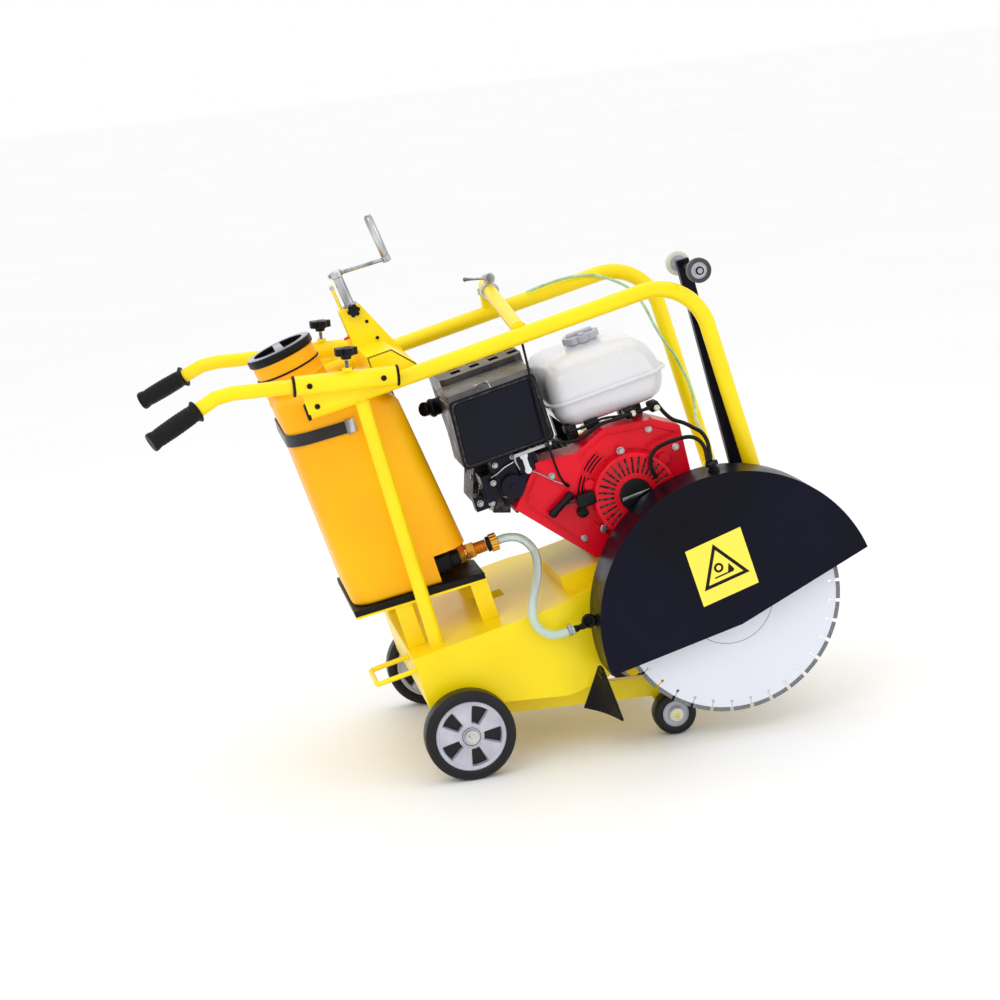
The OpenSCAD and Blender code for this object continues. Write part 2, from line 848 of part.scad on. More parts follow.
module crankshaft() {
    color(steel) placed() {
        cyl_y(crank_x, crank_z, -176, 346, 12.5);
        translate([crank_x, 0, crank_z]) difference() {
            union() {
                translate([0, -170, 0]) rotate([-90, 0, 0]) cylinder(h = 40, r = 100);
                for (k = [0:15]) rotate([0, 22.5 * k, 0])
                    translate([70, -178, -2]) cube([32, 9, 4]);
            }
            translate([0, -180, 0]) rotate([-90, 0, 0]) cylinder(h = 60, r = 12.5);
        }
        translate([crank_x, pulley_y, crank_z]) pulley(drive_pulley_r);
    }
}

module belt_loop(y, grow) {
    wall(y, 8) difference() {
        hull() {
            translate([crank_x, crank_z]) circle(drive_pulley_r + grow, $fn = 64);
            circle(driven_pulley_r + grow, $fn = 64);
        }
        hull() {
            translate([crank_x, crank_z]) circle(drive_pulley_r - 8.6, $fn = 64);
            circle(driven_pulley_r - 8.6, $fn = 64);
        }
    }
}

module drive_belts() {
    color(black) placed()
        for (y = [pulley_y + 7, pulley_y + 25]) belt_loop(y, 1);
}

module belt_guard_outline(g) {
    translate([crank_x, crank_z]) circle(74 - g);
    polygon([[crank_x - 74 + g, crank_z], [-160 + g, deck_z], [76 - g, deck_z], [76 - g, 120],
        [-38 - g, 288 - g], [crank_x, crank_z + 74 - g]]);
}

module belt_guard() {
    color(yellow) placed()
        difference() {
            wall(116, 64) belt_guard_outline(0);
            wall(118, 60) {
                belt_guard_outline(2);
                translate([-158, 90]) square([232, 30]);
            }
            cyl_y(crank_x, crank_z, 100, 40, 30);
        }
}

// ---- Blade ----

blade_r = blade_d / 2;
core_r = blade_r - 8;
segment_a = 360 / segment_count;
hub_t = core_t + 0.8;                      // thickness of the blade at its hub
blade_back = -blade_offset + hub_t / 2;
blade_face = -blade_offset - hub_t / 2;

module blade_shaft() {
    color(steel) placed() {
        cyl_y(0, 0, blade_back, 173 - blade_back, 15);
        cyl_y(0, 0, -314, 36, 12.7);
        cyl_y(0, 0, blade_back, 12, 50);
        translate([0, pulley_y, 0]) difference() {
            pulley(driven_pulley_r);
            rotate([-90, 0, 0]) translate([0, 0, -1]) cylinder(h = 60, r = 15);
        }
    }
}

module shaft_bearings() {
    color([0.25, 0.3, 0.35]) placed()
        for (y = [-198, 77])
            difference() {
                union() {
                    cyl_y(0, 0, y, 36, 40);
                    block([-34, y + 4, 0], [34, y + 32, 40]);
                    block([-70, y, 34], [70, y + 36, 48]);
                }
                cyl_y(0, 0, y - 1, 38, 15 + run_gap);
            }
}

module blade_disc() {
    color([0.9, 0.91, 0.95]) placed() translate([0, -blade_offset, 0]) rotate([-90, 0, 0]) {
        difference() {
            union() {
                translate([0, 0, -core_t / 2]) cylinder(h = core_t, r = core_r);
                translate([0, 0, -hub_t / 2]) cylinder(h = hub_t, r = 88);
            }
            translate([0, 0, -10]) cylinder(h = 20, r = 12.7);
            for (k = [0:segment_count - 1]) rotate([0, 0, k * segment_a]) {
                translate([blade_r - 20, 0, -10]) cylinder(h = 20, r = 3.2);
                translate([blade_r - 20, -0.9, -10]) cube([30, 1.8, 20]);
            }
        }
        for (k = [0:segment_count - 1]) rotate([0, 0, (k + 0.09) * segment_a])
            rotate_extrude(angle = segment_a * 0.82) translate([core_r - 0.2, -core_t / 2 - 0.3])
                square([blade_r - core_r + 0.2, core_t + 0.6]);
    }
}

module blade_flange() {
    color(steel) placed() {
        difference() {
            cyl_y(0, 0, blade_face - 10, 10, 52);
            cyl_y(0, 0, blade_face - 11, 12, 12.7);
        }
        difference() {
            hex_y(0, 0, blade_face - 28, 18, 38);
            cyl_y(0, 0, blade_face - 30, 22, 12.7);
        }
    }
}

module guard_body(g) {
    intersection() {
        translate([guard_cx, guard_cz]) circle(guard_r - g);
        polygon(guard_mouth);
    }
}

module blade_guard() {
    depth = guard_in - guard_out;
    color(black) placed() {
        difference() {
            wall(guard_out, depth) guard_body(0);
            wall(guard_out + guard_t, depth - 2 * guard_t)
                translate([guard_cx, guard_cz]) circle(guard_r - guard_t);
            wall(guard_in - 10, 20) {
                circle(56);
                translate([-56, -120]) square([112, 120]);
            }
        }
        // spacers between the guard and the skirt
        for (x = [-150, 100])
            cyl_y(x, 60, guard_in, -front_half - guard_in, 14);
    }
}

module guard_flap() {
    color(black) placed() hull() {
        block([-286, -302, -42], [-280, -266, -36]);
        block([-282, -320, -146], [-274, -314, -138]);
        block([-336, -242, -120], [-328, -236, -114]);
    }
}

// ---- Guide arm ----

module guide_line() {
    translate([guide_x, 0, guide_z]) rotate([0, guide_lean, 0]) children();
}

module guide_arm() {
    color(black) placed() guide_line() {
        difference() {
            union() {
                translate([-12.5, guide_y - 8, 0]) cube([25, 16, guide_len + 12]);
                translate([0, guide_y - 8, 0]) rotate([-90, 0, 0]) cylinder(h = 16, r = 12.5);
            }
            translate([0, guide_y - 9, 0]) rotate([-90, 0, 0]) cylinder(h = 18, r = 6 + run_gap);
        }
        difference() {
            translate([0, -292, guide_len]) rotate([-90, 0, 0]) cylinder(h = 190, r = 5);
            translate([-12.5, guide_y - 8, guide_len - 20]) cube([25, 16, 40]);
        }
        translate([0, -292.6, guide_len]) rotate([-90, 0, 0]) cylinder(h = 4, r = 8);
        translate([0, -106, guide_len]) rotate([-90, 0, 0]) cylinder(h = 6, r = 8);
    }
}

module guide_wheel(y) {
    color([0.85, 0.85, 0.83]) placed() guide_line()
        translate([0, y, guide_len]) rotate([-90, 0, 0]) difference() {
            union() {
                cylinder(h = 14, r = 24);
                translate([0, 0, -0.3]) cylinder(h = 17, r = 11);
            }
            translate([0, 0, -2]) cylinder(h = 22, r = 5 + run_gap);
        }
}

module guide_wheel_outer() {
    guide_wheel(-288);
}

module guide_wheel_inner() {
    guide_wheel(-124);
}

// ---- Swing frame and wheels ----

module nut_slot() {
    // radial slot for the nut's pins, as seen from the side
    translate([101.95, 17.9]) rotate(9.96) {
        translate([-3, -5.3]) square([6, 10.6]);
        for (x = [-3, 3]) translate([x, 0]) circle(5.3);
    }
}

module swing_frame() {
    color(yellow) placed() {
        difference() {
            union() {
                swing_line() {
                    for (side = [right, left])
                        translate([0, side * arm_y - 10, -20]) cube([372, 20, 40]);
                    translate([0, -175, 0]) rotate([-90, 0, 0]) cylinder(h = 350, r = 17);
                    translate([142, -arm_y, -15]) cube([30, 2 * arm_y, 30]);
                    for (y = [-34, 26])
                        difference() {
                            wall(y, 8) polygon([[84, 0], [96, 36], [116, 36], [146, 12], [146, -12], [110, -14]]);
                            wall(y - 1, 10) nut_slot();
                        }
                }
                for (side = [right, left])
                    wall(side * arm_y - 11, 22) {
                        polygon([[-200, -125], [-150, -138], [front_x_axle + 17, front_z_axle],
                            [front_x_axle - 17, front_z_axle]]);
                        translate([front_x_axle, front_z_axle]) circle(17);
                    }
            }
            cyl_y(pivot_x, pivot_z, -180, 360, 10 + run_gap);
        }
        for (side = [right, left]) {
            y_in = arm_y + 10;
            y_out = front_wheel_y + front_w / 2;
            cyl_y(front_x_axle, front_z_axle, side == left ? y_in : -y_out - 1, y_out + 1 - y_in, axle_r);
            cyl_y(front_x_axle, front_z_axle, side == left ? y_in : -y_in - 7.6, 7.6, 14);
            cyl_y(front_x_axle, front_z_axle, side == left ? y_out + 0.4 : -y_out - 6.4, 6, 13);
        }
    }
}

module front_wheel(side) {
    y0 = side * front_wheel_y - front_w / 2;
    color(black) placed() difference() {
        union() {
            cyl_y(front_x_axle, front_z_axle, y0 + 3, front_w - 6, front_r);
            cyl_y(front_x_axle, front_z_axle, y0 + 0.8, front_w - 1.6, front_r - 3);
        }
        cyl_y(front_x_axle, front_z_axle, y0 - 1, front_w + 2, 26);
    }
    color(steel) placed() difference() {
        union() {
            cyl_y(front_x_axle, front_z_axle, y0 + 6, front_w - 12, 26);
            cyl_y(front_x_axle, front_z_axle, y0, front_w, 16);
        }
        cyl_y(front_x_axle, front_z_axle, y0 - 1, front_w + 2, axle_r + run_gap);
    }
}

module front_wheel_right() {
    front_wheel(right);
}

module front_wheel_left() {
    front_wheel(left);
}

module rear_axle() {
    color(steel) placed() {
        cyl_y(rear_x_axle, rear_z_axle, -rear_out - 1, 2 * rear_out + 2, axle_r);
        for (side = [right, left]) {
            cyl_y(rear_x_axle, rear_z_axle, side == left ? rear_out + 0.4 : -rear_out - 9.4, 9, 14);
            difference() {
                cyl_y(rear_x_axle, rear_z_axle, side == left ? 243.4 : -262.6, 19.2, 15);
                cyl_y(rear_x_axle, rear_z_axle, -300, 600, axle_r);
            }
        }
    }
}

// Pocket between two spokes
module rim_pocket() {
    intersection() {
        difference() {
            circle(60);
            circle(27);
        }
        polygon([[0, 0], [90 * cos(19), 90 * sin(19)], [90, 0], [90 * cos(19), -90 * sin(19)]]);
    }
}

rim_r = 68.4;

module rear_wheel(side) {
    y0 = side == left ? rear_out - rear_w : -rear_out;
    placed() translate([rear_x_axle, y0, rear_z_axle]) rotate([-90, 0, 0]) {
        color(steel) difference() {
            union() {
                translate([0, 0, 3]) cylinder(h = rear_w - 6, r = rim_r);
                cylinder(h = rear_w, r = 20);
            }
            for (k = [0:4]) rotate([0, 0, 72 * k + 18]) {
                translate([0, 0, rear_w / 2 + 4]) linear_extrude(30) rim_pocket();
                translate([0, 0, rear_w / 2 - 34]) linear_extrude(30) rim_pocket();
            }
            translate([0, 0, -1]) cylinder(h = rear_w + 2, r = axle_r + run_gap);
        }
        color(black) difference() {
            union() {
                translate([0, 0, 4]) cylinder(h = rear_w - 8, r = rear_r);
                translate([0, 0, 0.5]) cylinder(h = rear_w - 1, r = rear_r - 4);
            }
            translate([0, 0, -1]) cylinder(h = rear_w + 2, r = rim_r);
        }
    }
}

module rear_wheel_right() {
    rear_wheel(right);
}

module rear_wheel_left() {
    rear_wheel(left);
}

// ---- Depth control ----

module crank() {
    color(steel) placed() screw_line() {
        translate([0, 0, -860]) cylinder(h = 800, r = screw_r);
        translate([0, 0, -60]) cylinder(h = 145, r = shaft_tube_r);
        translate([0, 0, 16.3]) cylinder(h = 5, r = 14);
        translate([0, 0, crank_s - 7]) cylinder(h = 14, r = 13);
        rod([0, 0, crank_s], [crank_throw, 0, elbow_s], 4);
        translate([crank_throw, 0, elbow_s - 6]) cylinder(h = 12, r = 9);
        translate([crank_throw, 0, elbow_s]) cylinder(h = 92, r = 4.5);
        translate([crank_throw, 0, elbow_s + 89.6]) cylinder(h = 3, r = 7);
    }
}

module crank_grip() {
    color(steel) placed() screw_line() translate([crank_throw, 0, elbow_s + 6.3])
        difference() {
            cylinder(h = 83, r = 8.5);
            translate([0, 0, -1]) cylinder(h = 90, r = 4.5 + run_gap);
        }
}

module depth_nut() {
    color(steel) placed() screw_line() translate([0, 0, nut_s])
        difference() {
            union() {
                translate([-18, -24, -15]) cube([36, 48, 30]);
                translate([0, -36, 0]) rotate([-90, 0, 0]) cylinder(h = 72, r = 5);
            }
            translate([0, 0, -40]) cylinder(h = 80, r = screw_r + run_gap);
        }
}

module depth_pointer() {
    color("red") placed() screw_line() translate([0, 0, -42])
        difference() {
            union() {
                translate([-28, -14, 0]) cube([42, 28, 5]);
                translate([-38, -3, 0]) cube([12, 6, 5]);
            }
            translate([0, 0, -1]) cylinder(h = 7, r = shaft_tube_r + run_gap);
            translate([-19, 0, -1]) cylinder(h = 7, r = 3.5 + run_gap);
        }
}

module lock_knob() {
    color(black) placed() screw_line() translate([0, -31, knob_s]) rotate([90, 0, 0])
        lobed_knob(13, 13, 20.4, 6);
}

// ---- Controls, lines and fasteners ----

lever_x = -190;
lever_z = 692;

module throttle_lever() {
    color(steel) placed() {
        difference() {
            wall(128, 4) {
                translate([lever_x, lever_z]) circle(9);
                translate([lever_x, lever_z]) rotate(164) translate([0, -5]) square([52, 10]);
                translate([lever_x, lever_z]) rotate(164) translate([52, 0]) circle(5);
            }
            cyl_y(lever_x, lever_z, 120, 20, 5 + run_gap);
        }
    }
}

module lines() {
    color(black) placed() {
        sweep(cable_route, 2.5, 8);
        sweep(fuel_hose_route, 4, 8);
        sweep(pulse_hose_route, 4, 8);
        // tee on top of the guard that the lines run into
        difference() {
            translate([48, -287, 250]) cylinder(h = 21, r = 11);
            wall(-330, 110) translate([guard_cx, guard_cz]) circle(guard_r);
        }
        // inlet eye on the guard's rear rim, and the hose tail that reaches it
        difference() {
            union() {
                translate([-272, -267, 54]) rotate([90, 0, 0]) rotate_extrude()
                    translate([11, 0]) circle(3.6);
                rod([-303.9, -267, 48], [-281, -267, 48], 7);
            }
            wall(-330, 110) translate([guard_cx, guard_cz]) circle(guard_r);
        }
    }
    color([0.5, 0.7, 0.4]) placed() sweep(thin_tube_route, 3, 8);
    // clamp of the throttle lever on the lifting bar
    color(steel) placed() {
        difference() {
            union() {
                rod([-197.6, 139, 664.2], [-196.8, 157, 666.4], 19);
                block([-204, 139, 676], [-180, 157, 700]);
            }
            rod(bar_low, bar_high, 14.05);
        }
        cyl_y(lever_x, lever_z, 127, 12.5, 5);
    }
}

module fasteners() {
    color(black) placed() {
        for (side = [right, left]) {
            sleeve_line(side) difference() {
                for (x = [-70, 70])
                    translate([x, side * 25, 0]) rotate([side * 90, 0, 0]) cylinder(h = 8, r = 5);
                translate([-sleeve_half, 0, 0]) rotate([0, 90, 0])
                    cylinder(h = 2 * sleeve_half, r = sleeve_r);
            }
            cyl_y(-626, 622, side == left ? rail_y + cage_r + 8 : -rail_y - cage_r - 12, 4, 5);
        }
        for (x = [-150, 100])
            hex_y(x, 60, guard_out - 5, 5, 17);
    }
    color(steel) placed()
        for (x = bolt_x, y = bolt_y)
            translate([x, y, feet_z + 14]) cylinder(h = 7, d = 19, $fn = 6);
}

base_deck();
base_skirt();
engine_platform();
rail_right();
rail_left();
cage_posts();
console();
handle_sleeves();
handle_right();
grip_right();
handle_left();
grip_left();
clamp_knob_right();
clamp_knob_left();
tank_tray();
tray_mat();
water_tank();
tank_cap();
tank_strap();
water_valve();
valve_lever();
water_hose();
engine_block();
fan_shroud();
recoil_housing();
recoil_grip();
fuel_tank();
fuel_cap();
muffler();
muffler_guard();
air_cleaner();
carburettor();
choke_lever();
engine_switch();
crankshaft();
drive_belts();
blade_shaft();
shaft_bearings();
blade_disc();
blade_flange();
belt_guard();
blade_guard();
guard_flap();
guide_arm();
guide_wheel_outer();
guide_wheel_inner();
swing_frame();
front_wheel_right();
front_wheel_left();
rear_axle();
rear_wheel_right();
rear_wheel_left();
crank();
crank_grip();
depth_nut();
depth_pointer();
lock_knob();
throttle_lever();
lines();
fasteners();
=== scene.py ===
import json
from math import asin, atan2, cos, degrees, pi, radians, sin, sqrt
import random

import bmesh
import bpy
from mathutils import Matrix, Vector


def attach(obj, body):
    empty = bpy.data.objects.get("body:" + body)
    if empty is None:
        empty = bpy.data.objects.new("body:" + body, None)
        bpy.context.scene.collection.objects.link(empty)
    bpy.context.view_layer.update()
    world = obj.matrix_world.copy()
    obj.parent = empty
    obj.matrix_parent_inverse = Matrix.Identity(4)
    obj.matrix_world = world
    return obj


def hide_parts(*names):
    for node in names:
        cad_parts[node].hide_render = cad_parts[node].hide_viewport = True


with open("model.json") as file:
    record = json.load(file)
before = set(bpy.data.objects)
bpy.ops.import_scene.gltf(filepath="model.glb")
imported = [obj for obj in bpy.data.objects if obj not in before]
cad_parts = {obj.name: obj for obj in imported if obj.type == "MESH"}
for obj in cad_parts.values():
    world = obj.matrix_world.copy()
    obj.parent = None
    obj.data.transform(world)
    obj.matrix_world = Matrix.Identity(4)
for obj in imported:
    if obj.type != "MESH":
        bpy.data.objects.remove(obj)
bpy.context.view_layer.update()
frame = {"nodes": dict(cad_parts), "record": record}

random.seed(7)
MM = 0.001
RIGHT, LEFT = -1, 1
SIDES = (RIGHT, "right"), (LEFT, "left")
X, Y, Z = Vector((1, 0, 0)), Vector((0, 1, 0)), Vector((0, 0, 1))

# ---- The chassis frame: millimetres, Z square to the deck, blade arbor at X = Z = 0 ----

REAR_AXLE, FRONT_AXLE = (-563, -69), (-160, -202)
JOINT = {j["name"]: Vector(j["pos_m"]) for j in frame["record"]["behaviour"]["joints"] if "pos_m" in j}
ARBOR = JOINT["blade_spin"]
REACH = JOINT["rear_wheel_right_spin"] - ARBOR
PITCH = atan2(-REACH.z, -REACH.x) - atan2(-REAR_AXLE[1], -REAR_AXLE[0])
BLADE_Y = -281
CENTRE_Y = ARBOR.y - BLADE_Y * MM


def turned(x, y, z, angle, axis="Y"):
    return Matrix.Translation((x, y, z)) @ Matrix.Rotation(radians(angle), 4, axis)


RIG = turned(ARBOR.x, CENTRE_Y, ARBOR.z, -degrees(PITCH)) @ Matrix.Scale(MM, 4)
CHASSIS = Matrix.Identity(4)
SCREW = turned(-487, 0, 735, -5)
TRAY = turned(-690, 0, 194, 3.4)
GUIDE = turned(115, 0, 118, 2.6)
NECK, NECK_H = turned(-638, 0, 628, -7), 79
BARREL = turned(-98, 0, 251, -70)
CRANK = Vector((-98, 0, 243))
RAIL_Y = 203
SHROUD_Y = -185.4
SIGN_Y = -325.5
VALVE_Y, VALVE_Z = -100, 226
INLET_Y = -267
FUEL_CAP_X = -72
LEVER_X, LEVER_Z = -190, 692
CRANK_ARM = 103
GUIDE_WHEEL_Z = 512
STEPS = 5  # points of a smooth line for each stretch of its route


def sleeve(side):
    return turned(-560.5, side * 243, 652.5, 13.5)


# ---- Mesh building ----

def square_to(axis):
    """The axis as a unit vector, and two more that are square to it and to each other."""
    axis = Vector(axis).normalized()
    u = axis.orthogonal().normalized()
    return axis, u, axis.cross(u)


def mirrored(profile, width):
    """A profile of (radius, distance) pairs with its mirror image added, width wide in all."""
    return profile + [(r, width - h) for r, h in reversed(profile)]


def around(count):
    """Angles evenly spaced round a circle."""
    return [2 * pi * k / count for k in range(count)]


class Part:
    """Gathers mesh in one sub-frame of the chassis, in millimetres."""

    def __init__(self, at=CHASSIS):
        self.at = at
        self.bm = bmesh.new()

    def ring(self, centre, u, v, r, seg):
        step = 2 * pi / seg
        return [self.bm.verts.new(centre + r * (cos(k * step) * u + sin(k * step) * v)) for k in range(seg)]

    def loop_at(self, points):
        return [self.bm.verts.new(p) for p in points]

    def bridge(self, a, b):
        for k in range(len(a)):
            n = (k + 1) % len(a)
            self.bm.faces.new((a[k], a[n], b[n], b[k]))

    def skin(self, rings, closed=False):
        """Joins each ring to the next, then the last to the first, or else gives both ends a face."""
        for a, b in zip(rings, rings[1:]):
            self.bridge(a, b)
        if closed:
            self.bridge(rings[-1], rings[0])
        else:
            self.bm.faces.new(rings[0][::-1])
            self.bm.faces.new(rings[-1])
        return self

    def lathe(self, base, axis, profile, seg=64, closed=False):
        """Turns (radius, distance along axis) pairs about the axis. An open profile gets flat ends."""
        axis, u, v = square_to(axis)
        return self.skin([self.ring(Vector(base) + h * axis, u, v, max(r, 0.01), seg) for r, h in profile],
                closed)

    def rod(self, p, q, r, seg=32, r_end=None):
        p, q = Vector(p), Vector(q)
        return self.lathe(p, q - p, [(r, 0), (r if r_end is None else r_end, (q - p).length)], seg)

    def tube(self, path, r, seg=12, closed=False):
        path = [Vector(p) for p in path]
        count = len(path)
        rings = []
        u = None
        for i, p in enumerate(path):
            after = path[(i + 1) % count] if closed else path[min(i + 1, count - 1)]
            before = path[i - 1] if closed else path[max(i - 1, 0)]
            t = (after - before).normalized()
            u = t.orthogonal() if u is None else u - u.dot(t) * t
            u.normalize()
            rings.append(self.ring(p, u, t.cross(u), r[i] if isinstance(r, list) else r, seg))
        return self.skin(rings, closed)

    def prism(self, outline, low, high, along="Y"):
        """Extrudes an outline: (x, z) points along Y, or (x, y) points along Z."""
        def place(p, h):
            return (p[0], h, p[1]) if along == "Y" else (p[0], p[1], h)
        a, b = (self.loop_at(place(p, h) for p in outline) for h in (low, high))
        self.bm.faces.new(a[::-1])
        self.bm.faces.new(b)
        self.bridge(a, b)
        return self

    def box(self, low, high, round_r=0, segments=3, at=None):
        middle = (Vector(low) + Vector(high)) / 2
        size = Vector(high) - Vector(low)
        matrix = (at or Matrix.Identity(4)) @ Matrix.Translation(middle) @ Matrix.Diagonal((*size, 1))
        made = bmesh.ops.create_cube(self.bm, size=1, matrix=matrix)["verts"]
        if round_r:
            edges = list(dict.fromkeys(e for v in made for e in v.link_edges))
            bmesh.ops.bevel(self.bm, geom=edges, offset=round_r, segments=segments, profile=0.5,
                    affect="EDGES", clamp_overlap=True)
        return self

    def boxes(self, *made):
        for low, high, round_r in made:
            self.box(low, high, round_r)
        return self

    def bolts(self, places, axis, across, height, washer=0):
        for place in places:
            self.hex_bolt(place, axis, across, height, washer)
        return self

    def ball(self, centre, r, seg=24):
        bmesh.ops.create_uvsphere(self.bm, u_segments=seg, v_segments=seg // 2, radius=r,
                matrix=Matrix.Translation(centre))
        return self

    def loft(self, sections, corner_seg=8):
        """Skins rounded rectangles (z, x0, x1, y0, y1, corner radius), bottom to top."""
        rings = []
        for z, x0, x1, y0, y1, r in sections:
            corners = ((x1 - r, y0 + r, -90), (x1 - r, y1 - r, 0), (x0 + r, y1 - r, 90),
                    (x0 + r, y0 + r, 180))
            rings.append(self.loop_at((x, y, z) for cx, cy, start in corners
                    for x, y in arc(cx, cy, r, start, start + 90, corner_seg + 1)))
        return self.skin(rings)

    def hex_bolt(self, base, axis, across, height, washer=0):
        """Hexagon head with a chamfered top, on an optional round washer."""
        axis = Vector(axis).normalized()
        base = Vector(base)
        corner = across / sqrt(3)
        if washer:
            self.lathe(base, axis, [(washer, 0), (washer, 1.4), (washer - 0.5, 1.8)], 32)
            base = base + 1.8 * axis
        self.lathe(base, axis, [(corner, 0), (corner, height * 0.8), (corner * 0.86, height)], 6)
        return self


def curve_through(points, steps=6):
    """A smooth line through the points (Catmull-Rom)."""
    pts = [Vector(p) for p in points]
    out = []
    for i in range(len(pts) - 1):
        p0, p1, p2, p3 = pts[max(i - 1, 0)], pts[i], pts[i + 1], pts[min(i + 2, len(pts) - 1)]
        for k in range(steps):
            t = k / steps
            out.append(0.5 * (2 * p1 + (p2 - p0) * t + (2 * p0 - 5 * p1 + 4 * p2 - p3) * t * t
                    + (3 * p1 - p0 - 3 * p2 + p3) * t ** 3))
    out.append(pts[-1])
    return out


def arc(cx, cz, r, start, end, count):
    return [(cx + r * cos(radians(start + (end - start) * k / (count - 1))),
            cz + r * sin(radians(start + (end - start) * k / (count - 1)))) for k in range(count)]


def polar(radius, seg):
    """Outline whose radius follows radius(angle)."""
    return [(radius(a) * cos(a), radius(a) * sin(a)) for a in around(seg)]


def lobes(r, depth, count, seg=90):
    """Outline of a knob with round lobes."""
    return polar(lambda a: r - depth * (1 - abs(cos(count * a / 2)) ** 0.7), seg)


def link(name, data):
    obj = bpy.data.objects.new(name, data)
    bpy.context.scene.collection.objects.link(obj)
    return obj


def mesh_of(bm, name):
    mesh = bpy.data.meshes.new(name)
    bm.to_mesh(mesh)
    bm.free()
    return mesh


def placed_mesh(part, name):
    """A Part's mesh in the shared frame, in metres."""
    bmesh.ops.recalc_face_normals(part.bm, faces=part.bm.faces)
    mesh = mesh_of(part.bm, name)
    mesh.transform(RIG @ part.at)
    return mesh


def piece(mesh, body, mat, bevel, segments, smooth, stands_for):
    """Links a mesh as a piece, with its material and rounded edges, that rides on a body."""
    mesh.shade_smooth()
    mesh.set_sharp_from_angle(angle=radians(smooth))
    obj = link(mesh.name, mesh)
    mesh.materials.append(mat)
    if bevel:
        mod = obj.modifiers.new("edges", "BEVEL")
        mod.width = bevel * MM
        mod.segments = segments
        mod.limit_method = "ANGLE"
        mod.angle_limit = radians(30)
        mod.miter_outer = "MITER_ARC"
        obj.modifiers.new("even", "WEIGHTED_NORMAL").keep_sharp = True
    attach(obj, body)
    if stands_for:
        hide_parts(*stands_for)
    return obj


def make(part, name, mat, body="root", bevel=0, segments=2, smooth=38, stands_for=()):
    """Turns a Part into a piece."""
    return piece(placed_mesh(part, name), body, mat, bevel, segments,
            smooth, stands_for)


BODY_OF = {n: b for b, members in frame["record"]["behaviour"]["bodies"].items() for n in members}


def refine(node, mat, bevel=0.8, segments=2, smooth=35, slotted=False):
    """A copy of a CAD node with its sharp edges rounded, which stands for that node."""
    bm = bmesh.new()
    bm.from_mesh(frame["nodes"][node].data)
    bmesh.ops.remove_doubles(bm, verts=bm.verts, dist=0.00002)
    if not slotted:
        bmesh.ops.dissolve_limit(bm, angle_limit=radians(0.6), verts=bm.verts, edges=bm.edges)
    return piece(mesh_of(bm, node + "_finished"), BODY_OF[node], mat, bevel, segments,
            smooth, (node,))


def carve(obj, cutters):
    """Cuts Parts out of an object's mesh, ahead of its other modifiers."""
    for cutter in cutters:
        tool = link("cutter", placed_mesh(cutter, "cutter"))
        kept = [(m.name, m.show_viewport) for m in obj.modifiers]
        for m in obj.modifiers:
            m.show_viewport = False
        cut = obj.modifiers.new("cut", "BOOLEAN")
        cut.operation = "DIFFERENCE"
        cut.solver = "EXACT"
        cut.object = tool
        shaped = bpy.data.meshes.new_from_object(obj.evaluated_get(bpy.context.evaluated_depsgraph_get()))
        obj.modifiers.remove(cut)
        for name, shown in kept:
            obj.modifiers[name].show_viewport = shown
        obj.data = shaped
        shaped.name = obj.name
        bpy.data.objects.remove(tool)
    obj.data.shade_smooth()
    obj.data.set_sharp_from_angle(angle=radians(38))
    return obj


# ---- Materials ----

def add_node(tree, kind, links=(), **values):
    """A shader node; a value's name is its socket's, with _ for a space."""
    node = tree.nodes.new("ShaderNode" + kind)
    set_values(node, **values)
    for source, socket in links:
        tree.links.new(source, node.inputs[socket])
    return node


def set_values(node, **values):
    for name, value in values.items():
        node.inputs[name.replace("_", " ")].default_value = value


def noise(tree, coords, scale, detail=3.0, stretch=None):
    if stretch:
        coords = add_node(tree, "Mapping", [(coords, "Vector")], Scale=stretch).outputs["Vector"]
    return add_node(tree, "TexNoise", [(coords, "Vector")], Scale=scale, Detail=detail).outputs["Fac"]


def ranged(tree, value, low, high, start=0.3, end=0.7):
    return add_node(tree, "MapRange", [(value, "Value")], From_Min=start, From_Max=end, To_Min=low,
            To_Max=high).outputs["Result"]


def blended(tree, factor, a, b):
    node = tree.nodes.new("ShaderNodeMix")
    node.data_type = "RGBA"
    tree.links.new(factor, node.inputs["Factor"])
    for socket, value in ((node.inputs[6], a), (node.inputs[7], b)):
        if isinstance(value, tuple):
            socket.default_value = (*value, 1)
        else:
            tree.links.new(value, socket)
    return node.outputs[2]


